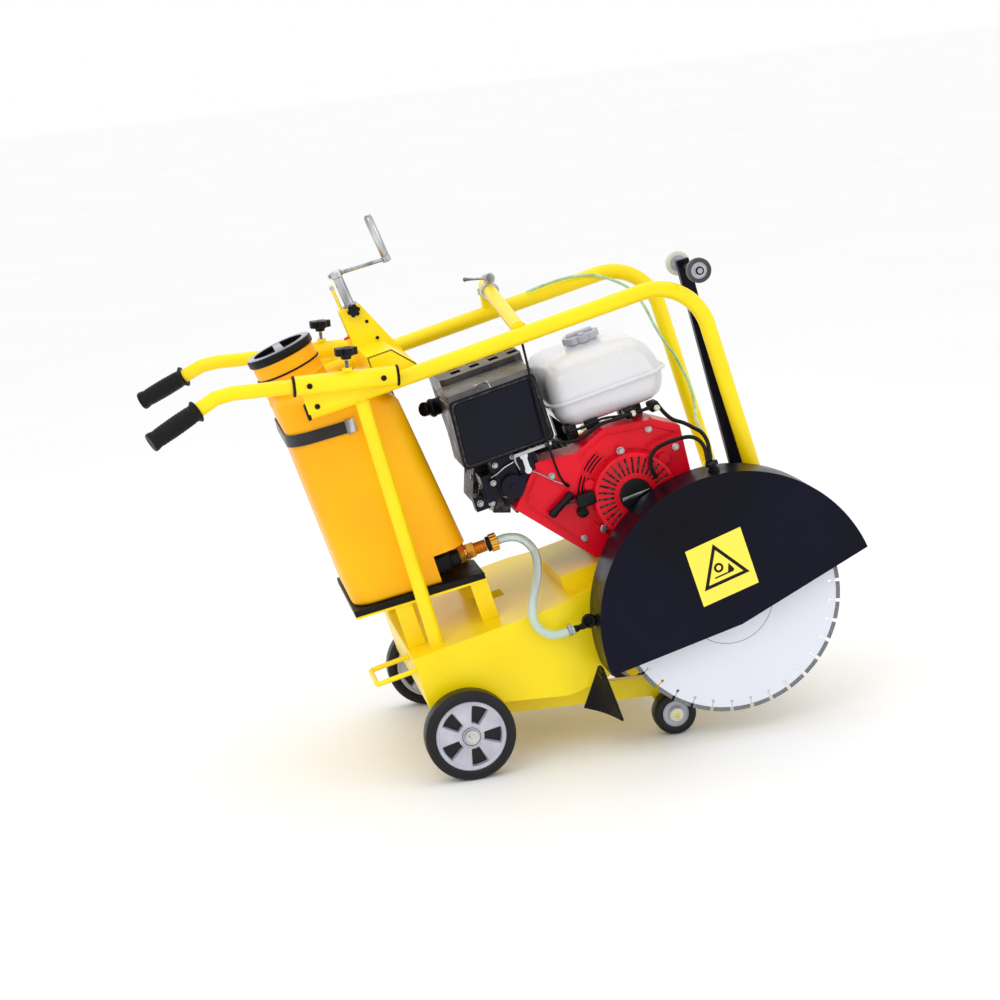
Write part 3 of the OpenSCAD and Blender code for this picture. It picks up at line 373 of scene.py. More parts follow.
def finish_of(name, base, rough=0.35, metal=0.0, coat=0.0, tint=0.06, patch=9, grain=0.05, grain_scale=900,
        wear=None, wear_amount=0.6, stretch=None, rough_spread=0.08, transmission=0.0, sheen=0.0, ior=1.5,
        second=None, shine=0.5):
    """One procedural surface: soft colour patches, a fine grain, uneven gloss and worn edges."""
    mat = bpy.data.materials.new(name)
    mat.use_nodes = True
    tree = mat.node_tree
    shader = tree.nodes["Principled BSDF"]
    coords = tree.nodes.new("ShaderNodeTexCoord").outputs["Object"]
    dark = tuple(c * (1 - tint) for c in base)
    light = second or tuple(min(1, c * (1 + tint)) for c in base)
    color = blended(tree, ranged(tree, noise(tree, coords, patch, 4, stretch), 0, 1), dark, light)
    if wear:
        edges = tree.nodes.new("ShaderNodeNewGeometry").outputs["Pointiness"]
        both = add_node(tree, "Math", [(ranged(tree, edges, 0, wear_amount, 0.53, 0.6), 0),
                (ranged(tree, noise(tree, coords, 120, 6), 0, 1, 0.45, 0.6), 1)])
        both.operation = "MULTIPLY"
        color = blended(tree, both.outputs[0], color, wear)
    tree.links.new(color, shader.inputs["Base Color"])
    gloss = ranged(tree, noise(tree, coords, patch * 4, 5, stretch), max(0.02, rough - rough_spread),
            min(1, rough + rough_spread))
    tree.links.new(gloss, shader.inputs["Roughness"])
    bump = add_node(tree, "Bump", [(noise(tree, coords, grain_scale, 2, stretch), "Height")],
            Strength=grain, Distance=0.0006)
    tree.links.new(bump.outputs["Normal"], shader.inputs["Normal"])
    set_values(shader, Metallic=metal, Coat_Weight=coat, Coat_Roughness=0.08, IOR=ior,
            Transmission_Weight=transmission, Sheen_Weight=sheen, Specular_IOR_Level=shine)
    return mat


def woven(name, base, light):
    """Flat webbing: fine ribs one way and a coarser weave the other."""
    mat = finish_of(name, base, rough=0.8, grain=0.3, grain_scale=700, sheen=0.4)
    tree = mat.node_tree
    coords = tree.nodes["Texture Coordinate"].outputs["Object"]
    wave = add_node(tree, "TexWave", [(coords, "Vector")], Scale=260, Distortion=1.5)
    wave.bands_direction = "DIAGONAL"
    tree.links.new(blended(tree, wave.outputs["Fac"], base, light),
            tree.nodes["Principled BSDF"].inputs["Base Color"])
    return mat


YELLOW = finish_of("yellow_paint", (0.98, 0.70, 0.0), rough=0.32, coat=0.08, shine=0.3, tint=0.04, patch=5,
        grain=0.03, grain_scale=260, rough_spread=0.04, second=(1.0, 0.79, 0.003))
AMBER = finish_of("amber_tank_plastic", (1.0, 0.42, 0.0), rough=0.42, coat=0.04, shine=0.22, tint=0.06,
        patch=3.2, grain=0.05, grain_scale=260, second=(1.0, 0.54, 0.0))
RED = finish_of("red_engine_paint", (0.68, 0.001, 0.012), rough=0.3, coat=0.08, shine=0.2, tint=0.2,
        patch=9, grain=0.03, grain_scale=300, rough_spread=0.05, second=(0.84, 0.002, 0.02))
BLACK_GLOSS = finish_of("black_guard_paint", (0.002, 0.002, 0.0035), rough=0.33, coat=0.04, shine=0.1,
        tint=0.3, patch=3.2, grain=0.02, grain_scale=300, second=(0.003, 0.003, 0.017))
PLASTIC = finish_of("black_moulded_plastic", (0.003, 0.003, 0.004), rough=0.38, shine=0.2, tint=0.2,
        patch=20, grain=0.28, grain_scale=700)
NAVY = finish_of("navy_black_cover", (0.002, 0.002, 0.004), rough=0.3, coat=0.05, shine=0.16, tint=0.3,
        patch=6, grain=0.12, grain_scale=700, second=(0.003, 0.003, 0.016))
RUBBER = finish_of("black_rubber", (0.003, 0.003, 0.0035), rough=0.5, shine=0.2, tint=0.25, patch=30,
        grain=0.35, grain_scale=600, rough_spread=0.1)
TYRE = finish_of("tyre_rubber", (0.004, 0.004, 0.006), rough=0.42, shine=0.32, tint=0.3, patch=24,
        grain=0.3, grain_scale=500)
CAST = finish_of("cast_aluminium", (0.50, 0.50, 0.58), rough=0.42, metal=0.4, tint=0.12, patch=30,
        grain=0.4, grain_scale=420, rough_spread=0.1, wear=(0.75, 0.75, 0.8), wear_amount=0.5)
STEEL = finish_of("bright_steel", (0.36, 0.37, 0.39), rough=0.24, metal=1.0, tint=0.2, patch=26, grain=0.12,
        grain_scale=600, stretch=(1, 1, 0.08), second=(0.6, 0.61, 0.63))
CHROME = finish_of("chrome_plate", (0.3, 0.3, 0.32), rough=0.15, metal=1.0, tint=0.75, patch=30, grain=0.03,
        grain_scale=500, rough_spread=0.05, stretch=(1, 1, 0.12), second=(0.72, 0.73, 0.75))
DARK_METAL = finish_of("dark_engine_metal", (0.014, 0.014, 0.016), rough=0.42, metal=0.4, shine=0.4,
        tint=0.35, patch=34, grain=0.45, grain_scale=500, wear=(0.2, 0.2, 0.2), wear_amount=0.6)
GREY_SHELL = finish_of("grey_shell", (0.026, 0.026, 0.03), rough=0.34, metal=0.35, tint=0.3, patch=9,
        grain=0.12, grain_scale=600, second=(0.13, 0.12, 0.13))
WHITE = finish_of("white_tank_paint", (0.74, 0.75, 0.79), rough=0.22, coat=0.5, tint=0.02, patch=4,
        grain=0.02, grain_scale=300)
BRASS = finish_of("brass", (0.86, 0.42, 0.06), rough=0.28, metal=0.85, tint=0.15, patch=40, grain=0.1,
        grain_scale=600)
BLADE = finish_of("blade_steel", (0.74, 0.76, 0.84), rough=0.34, metal=0.1, tint=0.02, patch=4, grain=0.02,
        grain_scale=400, rough_spread=0.02)
SEGMENT = finish_of("diamond_segment", (0.2, 0.21, 0.22), rough=0.6, metal=0.6, tint=0.35, patch=260,
        grain=0.9, grain_scale=900)
DECAL = finish_of("decal_yellow", (0.98, 0.80, 0.07), rough=0.4, tint=0.03, patch=12, grain=0.03,
        grain_scale=500)
DECAL_INK = finish_of("decal_ink", (0.004, 0.004, 0.004), rough=0.5, shine=0.2, tint=0.2, patch=30,
        grain=0.05)
# Pale grey for the top of the black cap: a painted reflection of the bright surroundings on black gloss
# plastic, not the plastic's own colour.
CAP_REFLECTION_PAINT = finish_of("cap_top_painted_reflection", (0.16, 0.16, 0.2), rough=0.22, coat=0.4, tint=0.35, patch=16,
        grain=0.05, second=(0.42, 0.42, 0.5))
CREAM = finish_of("zinc_plate", (0.72, 0.70, 0.58), rough=0.35, metal=0.7, tint=0.1, patch=60, grain=0.15,
        grain_scale=900)
PALE = finish_of("pale_wheel_plastic", (0.62, 0.64, 0.56), rough=0.4, tint=0.08, patch=25, grain=0.15)
GREEN_CAP = finish_of("green_tube", (0.36, 0.55, 0.18), rough=0.3, tint=0.15, patch=50, grain=0.1,
        second=(0.5, 0.75, 0.55))
POINTER = finish_of("red_pointer", (0.75, 0.02, 0.02), rough=0.35, coat=0.3, tint=0.1, patch=40)
HOSE = finish_of("clear_hose", (0.72, 0.90, 0.93), rough=0.12, tint=0.04, patch=20, grain=0.04,
        grain_scale=200, transmission=0.55, ior=1.42, rough_spread=0.05)
STRAP = woven("strap_webbing", (0.004, 0.004, 0.005), (0.016, 0.016, 0.019))


# ---- Chassis and cage ----

def weld(name, body, places):
    """Weld beads: a lumpy ring at each (centre, axis, radius)."""
    part = Part()
    for centre, axis, r in places:
        axis, u, v = square_to(axis)
        path, radii = [], []
        for a in around(72):
            path.append(Vector(centre) + r * (cos(a) * u + sin(a) * v))
            radii.append(2.0 + 0.5 * sin(a * 26) + random.uniform(-0.15, 0.15))
        part.tube(path, radii, 8, closed=True)
    return make(part, name, YELLOW, body, smooth=60)


def chassis():
    for node in ("base_deck", "base_skirt", "engine_platform", "tank_tray"):
        refine(node, YELLOW, bevel=1.2, segments=3)
    for node in ("rail_right", "rail_left", "cage_posts", "handle_right", "handle_left"):
        refine(node, YELLOW, bevel=1.0)
    refine("console", YELLOW, bevel=0.9)
    refine("belt_guard", YELLOW, bevel=0.7)
    refine("swing_frame", YELLOW, bevel=1.2)
    places = []
    for side in (RIGHT, LEFT):
        y = side * RAIL_Y
        places.append(((-561, y, 98.5), (0.03, 0, 1), 14.8))
        places.append(((140, y, 104.5), Z, 16.6))
        places.append(((-541.5, y, 599), (0.03, 0, 1), 14.6))
    places.append(((-210.6, -188, 624.1), (0.04, 1, 0.1225), 14.6))
    weld("tube_welds", "root", places)
    part = Part()
    for y in (-232, -120):
        part.lathe((-618, y, 72), X, [(5.2, -3), (8, -1), (8.4, 0.8), (5, 1)], 24)
    make(part, "loop_welds", YELLOW)
    part = Part()
    for side in (RIGHT, LEFT):
        part.rod((-648.6, side * RAIL_Y, 614), (-643, side * RAIL_Y, 614), 13.4, 40)
        part.lathe((-648.8, side * RAIL_Y, 614), -X, [(16.4, -6), (16.8, -3), (16.6, 0.4), (14, 1.1)], 48)
    make(part, "rail_end_caps", PLASTIC)


def console_ends():
    """Plates that close the two ends of the console."""
    part = Part()
    outline = [(-505, 600), (-505, 672), (-455, 672), (-418, 630), (-418, 600)]
    for y0, y1 in ((-187, -184), (184, 187)):
        part.prism(outline, y0, y1)
    make(part, "console_end_plates", YELLOW, bevel=0.8)


def handle_sleeves():
    tube, rings, bolts = Part(), Part(), Part()
    for side in (RIGHT, LEFT):
        m = sleeve(side)
        axis = m.to_3x3() @ X
        tube.lathe(m @ Vector((-96, 0, 0)), axis,
                [(18.4, 0), (19, 0.8), (19, 191.2), (18.4, 192), (14.06, 192), (14.06, 0)], 72, closed=True)
        tube.lathe(m @ Vector((5, 0, 18)), m.to_3x3() @ Z,
                [(9.6, 0), (9.4, 6), (8.6, 7), (4.1, 7), (4.1, 0)], 40, closed=True)
        y0, y1 = (219, 227) if side == LEFT else (-227, -219)
        tube.prism([(-646, 612), (-646, 655), (-500, 622), (-480, 612)], y0, y1)
        for x in (-101, 96):
            rings.lathe(m @ Vector((x, 0, 0)), axis, mirrored([(14.1, 0), (19.4, 0), (20.5, 1.2)], 5), 64,
                    closed=True)
        for x in (-70, 70):
            bolts.lathe(m @ Vector((x, side * 18.6, 0)), side * Y,
                    [(5.4, 0), (5.4, 2.4), (4.4, 4.2), (2.4, 4.4), (2.4, 2.4), (0, 2.4)], 32)
        bolts.lathe((-626, side * 227, 622), side * Y,
                [(5.2, 0), (5.2, 1.8), (4.2, 3.6), (2.2, 3.8), (2.2, 2), (0, 2)], 32)
    make(tube, "sleeve_tubes", YELLOW, bevel=0.6, stands_for=("handle_sleeves",))
    make(rings, "sleeve_end_rings", PLASTIC, smooth=50)
    make(bolts, "sleeve_bolts", PLASTIC)


def grips():
    for side, name in SIDES:
        root = Vector((-801, side * 247, 705))
        tip = Vector((-938, side * 284, 673))
        along = (tip - root).normalized()
        start = tip - 104 * along
        profile = [(14.1, 0), (20.5, 0), (22, 1.4), (22, 3.4), (20, 5.4), (17.4, 7.5), (17, 12)]
        for k in range(11):
            h = 16 + 6.6 * k
            swell = 17 + 0.9 * sin(pi * (k + 1) / 12)
            profile += [(swell, h), (swell + 0.5, h + 1), (swell + 0.5, h + 4.6), (swell, h + 5.6)]
        profile += [(17, 92), (17.6, 96), (18.8, 100), (19, 104), (18, 107), (13, 108), (6, 107.2),
                (3, 106.6)]
        make(Part().lathe(start, along, profile, 64), "grip_sleeve_" + name, RUBBER, "handle_" + name,
             smooth=50, stands_for=("grip_" + name,))


def star_knob(name, body, at, r, h, lobe_count, stem_low, stands_for):
    make(Part(at).prism(lobes(r, r * 0.3, lobe_count), 0.5, h - 0.5, "Z"), name + "_head", PLASTIC, body,
         bevel=2.2, segments=4, stands_for=stands_for)
    make(Part(at).lathe((0, 0, -7), Z, [(r * 0.4, 0), (r * 0.46, 5), (r * 0.55, 8)], 40)
         .lathe((0, 0, h - 0.6), Z, [(r * 0.4, 0), (r * 0.38, 0.5), (r * 0.2, 0.6)], 40),
         name + "_hub", PLASTIC, body)
    part = Part(at)
    profile = [(3.2, 0)]
    for k in range(int((-stem_low - 8) / 1.5)):
        profile += [(3.3, 0.4 + 1.5 * k), (3.98, 1.1 + 1.5 * k)]
    profile += [(3.9, -stem_low - 5)]
    part.lathe((0, 0, stem_low), Z, profile, 24)
    make(part, name + "_stem", STEEL, body, smooth=60)


def knobs():
    for side, name in SIDES:
        star_knob("clamp_" + name, "clamp_knob_" + name, sleeve(side) @ Matrix.Translation((5, 0, 48)), 23,
                15, 5, -33, ("clamp_knob_" + name,))
    at = SCREW @ Matrix.Translation((0, -31, 10)) @ Matrix.Rotation(radians(90), 4, "X")
    star_knob("lock", "lock_knob", at, 13, 13, 6, -20.4, ("lock_knob",))


# ---- Wheels ----

def rim_face(part, x, z, y, outward, radii, height, seg=180):
    """One face of a cast rim, shaped by height(radius, angle) measured inward from y."""
    rings = [part.loop_at((x + r * cos(a), y - outward * height(r, degrees(a)), z + r * sin(a))
            for a in around(seg)) for r in radii]
    for a, b in zip(rings, rings[1:]):
        part.bridge(a, b)
    return rings[0], rings[-1]


def smooth_step(t):
    t = min(1, max(0, t))
    return t * t * (3 - 2 * t)


def spoke_depth(r, a):
    """Depth of the rear rim's face: a raised hub, five flat spokes and five deep pockets."""
    off = abs((a + 18 + 36) % 72 - 36)
    inside_angle = smooth_step((16.5 - off) / 2)
    inside_radius = smooth_step((r - 25) / 2.5) * smooth_step((60.5 - r) / 2)
    pocket = (11 + 7 * (60 - r) / 35) * inside_angle * inside_radius
    lip = -1.6 * smooth_step((r - 62) / 1.5) * smooth_step(67.4 - r)
    hub = -2.6 * smooth_step((23 - r) / 1.5)
    return 3 + pocket + lip + hub


def rear_wheels():
    x, z = REAR_AXLE
    radii = [10.1, 12, 16, 19, 20.5, 21.5, 22.5, 24, 25.2, 26, 26.8, 27.6, 30, 34, 38, 42, 46, 50, 54, 57,
            58.6, 59.2, 59.8, 60.4, 61, 62, 63, 64, 65.5, 66.6, 67.4, 68.2]
    for side, name in SIDES:
        body = "rear_wheel_" + name
        outer = side * 308
        inner = side * 263
        floor = Part()
        for face, inward in ((outer, side), (inner, -side)):
            floor.lathe((x, face - inward * 12.6, z), -inward * Y,
                    [(26.4, 0), (60.2, 0), (60.2, 1.6), (26.4, 1.6)], 96, closed=True)
        make(floor, "rear_pockets_" + name, TYRE, body, smooth=30)
        part = Part()
        a0, a1 = rim_face(part, x, z, outer, side, radii, spoke_depth)
        b0, b1 = rim_face(part, x, z, inner, -side, radii, spoke_depth)
        part.bridge(a0, b0)
        part.bridge(a1, b1)
        make(part, "rear_rim_" + name, CAST, body, smooth=42)
        make(Part().lathe((x, min(outer, inner), z), Y,
                mirrored([(68.3, 3.5), (70, 1.6), (73, 1.0), (74, 0.5), (80, 0.6), (81, 1.2), (85, 2.4),
                (87.6, 5), (88.5, 9)], 45), 144, closed=True), "rear_tyre_" + name, TYRE, body, smooth=50,
             stands_for=(body,))
        make(Part().lathe((x, outer - side * 2, z), side * Y,
                [(10.2, 0), (18.5, 0), (18.5, 1.8), (17.4, 2.0), (16.8, 1.2), (13.4, 1.2), (12.6, 2.0),
                (10.2, 2.0)], 64, closed=True), "rear_bearing_" + name, GREY_SHELL, body,
             smooth=30)


def front_wheels():
    x, z = FRONT_AXLE
    for side, name in SIDES:
        body = "front_wheel_" + name
        y0 = side * RAIL_Y - 20
        make(Part().lathe((x, y0, z), Y,
                mirrored([(26, 2.4), (29, 1.0), (36, 0.8), (39.6, 2.2), (42.2, 5.5), (43, 10)], 40), 112,
                closed=True), "front_tyre_" + name, TYRE, body, smooth=50, stands_for=(body,))
        make(Part().lathe((x, y0, z), Y,
                mirrored([(10.1, 0.2), (15.2, 0.2), (16, 1.2), (16.4, 4), (19, 5.2), (23.4, 4.4),
                (25.2, 2.0), (26, 2.2)], 40), 96, closed=True), "front_rim_" + name, CAST, body, smooth=40)


def axle_ends():
    x, z = REAR_AXLE
    refine("rear_axle", STEEL, bevel=0.8)
    part = Part()
    for side in (RIGHT, LEFT):
        part.lathe((x, side * 317.2, z), side * Y,
                [(9.2, -3), (9.2, -0.4), (8.4, 0.2), (4.6, 0.2), (4.2, -1.8), (0, -1.8)], 40)
    make(part, "axle_bolt_faces", CREAM, smooth=30)
    part = Part()
    x, z = FRONT_AXLE
    for side in (RIGHT, LEFT):
        part.lathe((x, side * 230.6, z), side * Y,
                [(13.6, -5.6), (13.8, -1.4), (13, -0.6), (9, -0.6), (9, 0.2), (8.2, 0.4), (4.4, 0.4),
                (4, -1.4), (0, -1.4)], 40)
    make(part, "front_bolt_faces", CREAM, "swing_frame", smooth=30)


# ---- Blade and guard ----

SEGMENTS = 34


def blade():
    refine("blade_disc", BLADE, bevel=0.15, segments=1)
    refine("blade_shaft", STEEL, bevel=0.8)
    refine("blade_flange", STEEL, bevel=1.0)
    step = 360 / SEGMENTS
    part = Part()
    for k in range(SEGMENTS):
        a0, a1 = (k + 0.09) * step, (k + 0.91) * step
        outline = arc(0, 0, 225.0, a0, a1, 7) + arc(0, 0, 216.6, a1, a0, 7)
        part.prism([(px, -pz) for px, pz in outline], BLADE_Y - 2.0, BLADE_Y + 2.0)
    make(part, "blade_segment_tips", SEGMENT, "blade", bevel=0.3)
    make(Part().tube([(88.3 * cos(a), BLADE_Y - 1.75, 88.3 * sin(a)) for a in around(120)], 0.55, 6,
            closed=True), "blade_hub_groove", GREY_SHELL, "blade", smooth=60)


def guard():
    refine("blade_guard", BLACK_GLOSS, bevel=1.1, segments=3)
    # yellow plate with a plain triangle sign
    corners = [(-61, 132), (56, 141), (58, 24), (-59, 16)]
    make(Part().prism(corners, SIGN_Y - 0.1, SIGN_Y + 0.5), "sign_plate", DECAL, bevel=0.2)
    m = Matrix.Translation((-2, 0, 78)) @ Matrix.Rotation(radians(-4), 4, "Y")
    part = Part(m)
    outer = [(-48, -30), (48, -30), (0, 50)]
    inner = [(-36.5, -23.5), (36.5, -23.5), (0, 37.5)]
    for i in range(3):
        j = (i + 1) % 3
        part.prism([outer[i], outer[j], inner[j], inner[i]], SIGN_Y - 0.35, SIGN_Y)
    part.lathe((-6, SIGN_Y, 2), -Y, [(5, 0), (5, 0.35), (9.5, 0.35), (9.5, 0)], 40, closed=True)
    part.prism([(-20, -16), (20, -16), (20, -13), (-20, -13)], SIGN_Y - 0.35, SIGN_Y)
    part.prism([(8, -13), (22, -13), (15, 3)], SIGN_Y - 0.35, SIGN_Y)
    make(part, "sign_symbol", DECAL_INK)


def guard_flap():
    """Flared rubber skirt behind the guard, curled like half a funnel."""
    part = Part()
    rows, columns = 14, 15
    top = [Vector((-283, -302, -38)), Vector((-281, -284, -36)), Vector((-283, -266, -38))]
    low = [Vector((-279, -318, -144)), Vector((-290, -272, -137)), Vector((-333, -239, -117))]

    def bend(three, t):
        return (1 - t) ** 2 * three[0] + 2 * t * (1 - t) * three[1] + t * t * three[2]

    def row(i, offset):
        v = i / (rows - 1)
        points = []
        for j in range(columns):
            t = j / (columns - 1)
            p = bend(top, t).lerp(bend(low, t), v ** 1.15)
            ripple = 1.6 * sin(6 * t + 4 * v) * v
            points.append((p.x + offset + ripple * 0.4, p.y, p.z))
        return part.loop_at(points)
    a, b = ([row(i, offset) for i in range(rows)] for offset in (0, 5))
    for grid in (a, b):
        for i in range(rows - 1):
            for j in range(columns - 1):
                part.bm.faces.new((grid[i][j], grid[i + 1][j], grid[i + 1][j + 1], grid[i][j + 1]))
    for i in range(rows - 1):
        for j in (0, columns - 1):
            part.bm.faces.new((a[i][j], a[i + 1][j], b[i + 1][j], b[i][j]))
    for j in range(columns - 1):
        for i in (0, rows - 1):
            part.bm.faces.new((a[i][j], a[i][j + 1], b[i][j + 1], b[i][j]))
    make(part, "rubber_flap", RUBBER, bevel=0.8, smooth=50, stands_for=("guard_flap",))
    make(Part().box((-288, -304, -58), (-277, -264, -49), 1.5), "flap_clip", PLASTIC)


# ---- Water supply ----

def water_tank():
    part = Part(TRAY)
    sections = [(12.2, 10, 252, -142, 142, 38), (16, 5.5, 256, -148, 148, 43),
            (22, 3.4, 257, -150, 150, 45)]
    for z in (60, 120, 180, 240, 300, 350, 380):
        sections.append((z, 4 - 0.092 * (z - 12), 252 - 53 * (z - 60) / 328, -150, 150, 45))
    sections += [(392, -31, 193, -150, 150, 45), (402, -32, 176, -149.5, 149.5, 44),
            (414, -33, 156, -149, 149, 43), (426, -33.5, 135, -147, 147, 42),
            (434, -33, 121, -144, 144, 40), (440, -31, 110, -139, 139, 38), (444, -27, 101, -132, 132, 36),
            (445.8, -20, 93, -122, 122, 34)]
    part.loft(sections, 10)
    tank = make(part, "tank_shell", AMBER, bevel=2.0, segments=3, smooth=30, stands_for=("water_tank",))
    carve(tank, [Part().box((-507, -175, 150), (-380, -30, 252)),
            Part(SCREW).box((-34, -28, -640), (80, 28, 0))])
    make(Part(NECK).lathe((0, 0, -4), Z, [(66, 0), (65, 6), (64, 9), (64, 26), (65.5, 28), (65.5, 31),
            (64, 33), (64, NECK_H + 3)], 96), "tank_neck", AMBER, smooth=30)
    # Black ring round the neck: painted shade standing for the dark line at the neck's edge.
    make(Part(NECK).lathe((0, 0, NECK_H - 31), Z,
            [(63.5, 0), (66, 0.8), (66.4, 2.2), (66, 3.6), (63.5, 4.4)], 96, closed=True), "neck_shade_ring",
         RUBBER, smooth=30)
    refine("tray_mat", RUBBER, bevel=1.5, segments=3)


def tank_cap():
    """Screw cap: knurled black side, a pale grey on its top rim and finger bar that is a painted
    reflection, two deep recesses and a finger bar.
    """
    cap = NECK @ Matrix.Translation((0, 0, NECK_H))
    part = Part(cap)
    profile = [(60, 0.4, 0), (66.8, 0.6, 0.3), (67.8, 2.2, 1), (67.8, 13, 1), (66.6, 15.6, 0.4),
            (64, 16.9, 0), (53.5, 17.1, 0), (52, 16, 0), (52, 7.4, 0), (51, 7.1, 0)]
    part.skin([part.loop_at((p, q, z) for p, q in polar(lambda a: r + 0.3 * knurl * cos(48 * a), 288))
            for r, z, knurl in profile])
    make(part, "cap_ring", PLASTIC, "tank_cap", smooth=40, stands_for=("tank_cap",))
    # Top rim and finger bar take the painted reflection grey.
    part = Part(cap).lathe((0, 0, 16.6), Z, [(52.4, 0), (53, 0.7), (64.6, 0.5), (66, -0.6), (64, -1)], 96,
            closed=True)
    part.box((-9, -52.6, 6.8), (9, 52.6, 17.2), 2.5)
    make(part, "cap_rim_and_bar", CAP_REFLECTION_PAINT, "tank_cap", smooth=50)


def tank_strap():
    y_out, x_rear, r = 152.2, -31.5, 46
    line = [(100, -y_out), (60, -y_out), (x_rear + r + 6, -y_out)]
    line += arc(x_rear + r, -y_out + r, r, -90, -180, 12)
    line += arc(x_rear + r, y_out - r, r, 180, 90, 12)
    line += [(x_rear + r + 6, y_out), (60, y_out), (100, y_out)]
    part = Part(TRAY)
    rings = []
    for i, p in enumerate(line):
        a = Vector(line[max(i - 1, 0)])
        b = Vector(line[min(i + 1, len(line) - 1)])
        t = (b - a).normalized()
        n = Vector((t.y, -t.x))
        q = Vector(p)
        rings.append([part.bm.verts.new((q.x + n.x * o, q.y + n.y * o, z))
                for o, z in ((0, 353), (0, 377), (-1.7, 377), (-1.7, 353))])
    part.skin(rings)
    make(part, "strap_band", STRAP, bevel=0.4, smooth=40, stands_for=("tank_strap",))
    part = (Part(TRAY).box((84, -156, 352), (105, -153.2, 378), 1.0)
            .rod((88, -155.2, 350), (88, -155.2, 380), 1.6, 12))
    part.rod((100, -155.2, 350), (100, -155.2, 380), 1.6, 12)
    make(part, "strap_buckle", CHROME)


def hex_fitting(part, x0, length, across, y=VALVE_Y, z=VALVE_Z):
    corner = across / sqrt(3)
    part.lathe((x0, y, z), X, [(corner * 0.88, 0), (corner, 1.6), (corner, length - 1.6),
            (corner * 0.88, length)], 6)


def water_valve():
    part = Part().box((-506.8, -120, 206), (-474, -80, 240), 3).box((-476, -116, 209), (-455, -84, 237), 4)
    for k in range(4):
        part.box((-502 + 7 * k, -121.5, 211), (-498.5 + 7 * k, -119, 235), 0.8)
    make(part, "valve_body", PLASTIC, stands_for=("water_valve",))
    part = Part()
    hex_fitting(part, -456, 13, 32)
    hex_fitting(part, -440, 18, 30)
    part.rod((-446, VALVE_Y, VALVE_Z), (-424, VALVE_Y, VALVE_Z), 12.5)
    profile = [(11.5, 0)]
    for k in range(8):
        profile += [(11.6, 0.5 + 3.3 * k), (12.8, 1.8 + 3.3 * k)]
    part.lathe((-423, VALVE_Y, VALVE_Z), X, profile, 40)
    make(part, "brass_fittings", BRASS, smooth=30)
    make(Part().lathe((-396, VALVE_Y, VALVE_Z), X, [(13, 0), (15.4, 0.8), (15.4, 6.6), (13, 7.4)], 48),
         "valve_ring", PLASTIC)
    part = Part()
    outline = polar(lambda a: 17.6 + 0.8 * cos(16 * a), 96)
    a, b = (part.loop_at((x, VALVE_Y + p, VALVE_Z + q) for p, q in outline) for x in (-388.4, -373.6))
    part.bm.faces.new(a[::-1])
    part.bm.faces.new(b)
    part.bridge(a, b)
    make(part, "hose_nut", BRASS, bevel=0.8)
    part = (Part(Matrix.Translation((-480, VALVE_Y, VALVE_Z))).rod((0, 0, -4), (0, 0, 15), 4.95)
            .box((-6, -6, 14.6), (22.8, 6, 18.2), 1.4))
    part.hex_bolt((0, 0, 18.1), Z, 8, 3)
    make(part, "valve_handle", STEEL, "valve_lever", stands_for=("valve_lever",))


HOSE_ROUTE = [(-372, -100, 226), (-358, -100, 226), (-343, -103, 223), (-330, -110, 217), (-320, -124, 206),
        (-315, -142, 191), (-318, -162, 176), (-326, -184, 161), (-337, -206, 148), (-351, -230, 136),
        (-363, -250, 121), (-371, -262, 105), (-373, -267, 88), (-368, -267, 73), (-359, -267, 61),
        (-347, -267, 53), (-332, -267, 49), (-318, -267, 48), (-304, -267, 48)]
CABLE_ROUTE = [(-186, 143, 648), (-192, 90, 641), (-196, 40, 634.5), (-201, -60, 622.5),
        (-206, -130, 613.5), (-210, -172, 604.5), (-214, -188, 588), (-218, -202, 564), (-223, -211, 525),
        (-227, -214, 480), (-230, -215, 430), (-231, -214, 380), (-229, -209, 336), (-223, -198, 312),
        (-216, -190, 302)]
FUEL_HOSE_ROUTE = [(8, -141, 388), (14, -152, 368), (25, -160, 349), (43, -170, 336), (56, -185, 323),
        (64, -205, 314), (64, -232, 300), (56, -262, 284), (49, -284, 272)]
PULSE_HOSE_ROUTE = [(-50, -216, 262), (-54, -218, 282), (-52, -218, 298), (-44, -217, 310),
        (-30, -216, 318), (-6, -216, 321), (18, -216, 320), (38, -218, 316), (50, -226, 306),
        (52, -248, 293), (44, -278, 277), (41, -286, 272)]
THIN_TUBE_ROUTE = [(-120, 185, 632), (-40, 184, 632), (20, 183, 620), (62, 182, 592), (92, 182, 560),
        (106, 180, 520), (113, 176, 476), (121, 172, 441), (131, 170, 411), (139, 168, 374),
        (143, 164, 343), (140, 148, 312), (130, 118, 292), (112, 50, 282), (92, -80, 278), (74, -180, 280),
        (60, -240, 280), (54, -284, 272)]


def water_hose():
    line = curve_through(HOSE_ROUTE, STEPS)
    part = Part().tube(line, 8.5, 28)
    hose = make(part, "water_hose_tube", HOSE, smooth=70, stands_for=("water_hose",))
    make(Part().lathe((-317, INLET_Y, 48), X, [(8.7, 0), (9.6, 0.6), (9.6, 7.4), (8.7, 8)], 40)
         .box((-315, -271, 56), (-308, -263, 62), 1), "hose_clamp", CHROME)
    part = (Part().lathe((-304.5, INLET_Y, 48), X,
            [(5.4, 0), (7, 1), (7, 7), (5.4, 9), (5.2, 14), (6.6, 15), (6.6, 23)], 32)
            .tube([(-272 + 11 * cos(a), INLET_Y, 54 + 11 * sin(a)) for a in around(48)], 3.6, 14,
                    closed=True))
    part.lathe((-272, -262.6, 54), Y, [(9, 0), (9.6, 1), (9.6, 2.4)], 32)
    make(part, "guard_inlet_eye", PLASTIC, smooth=50)


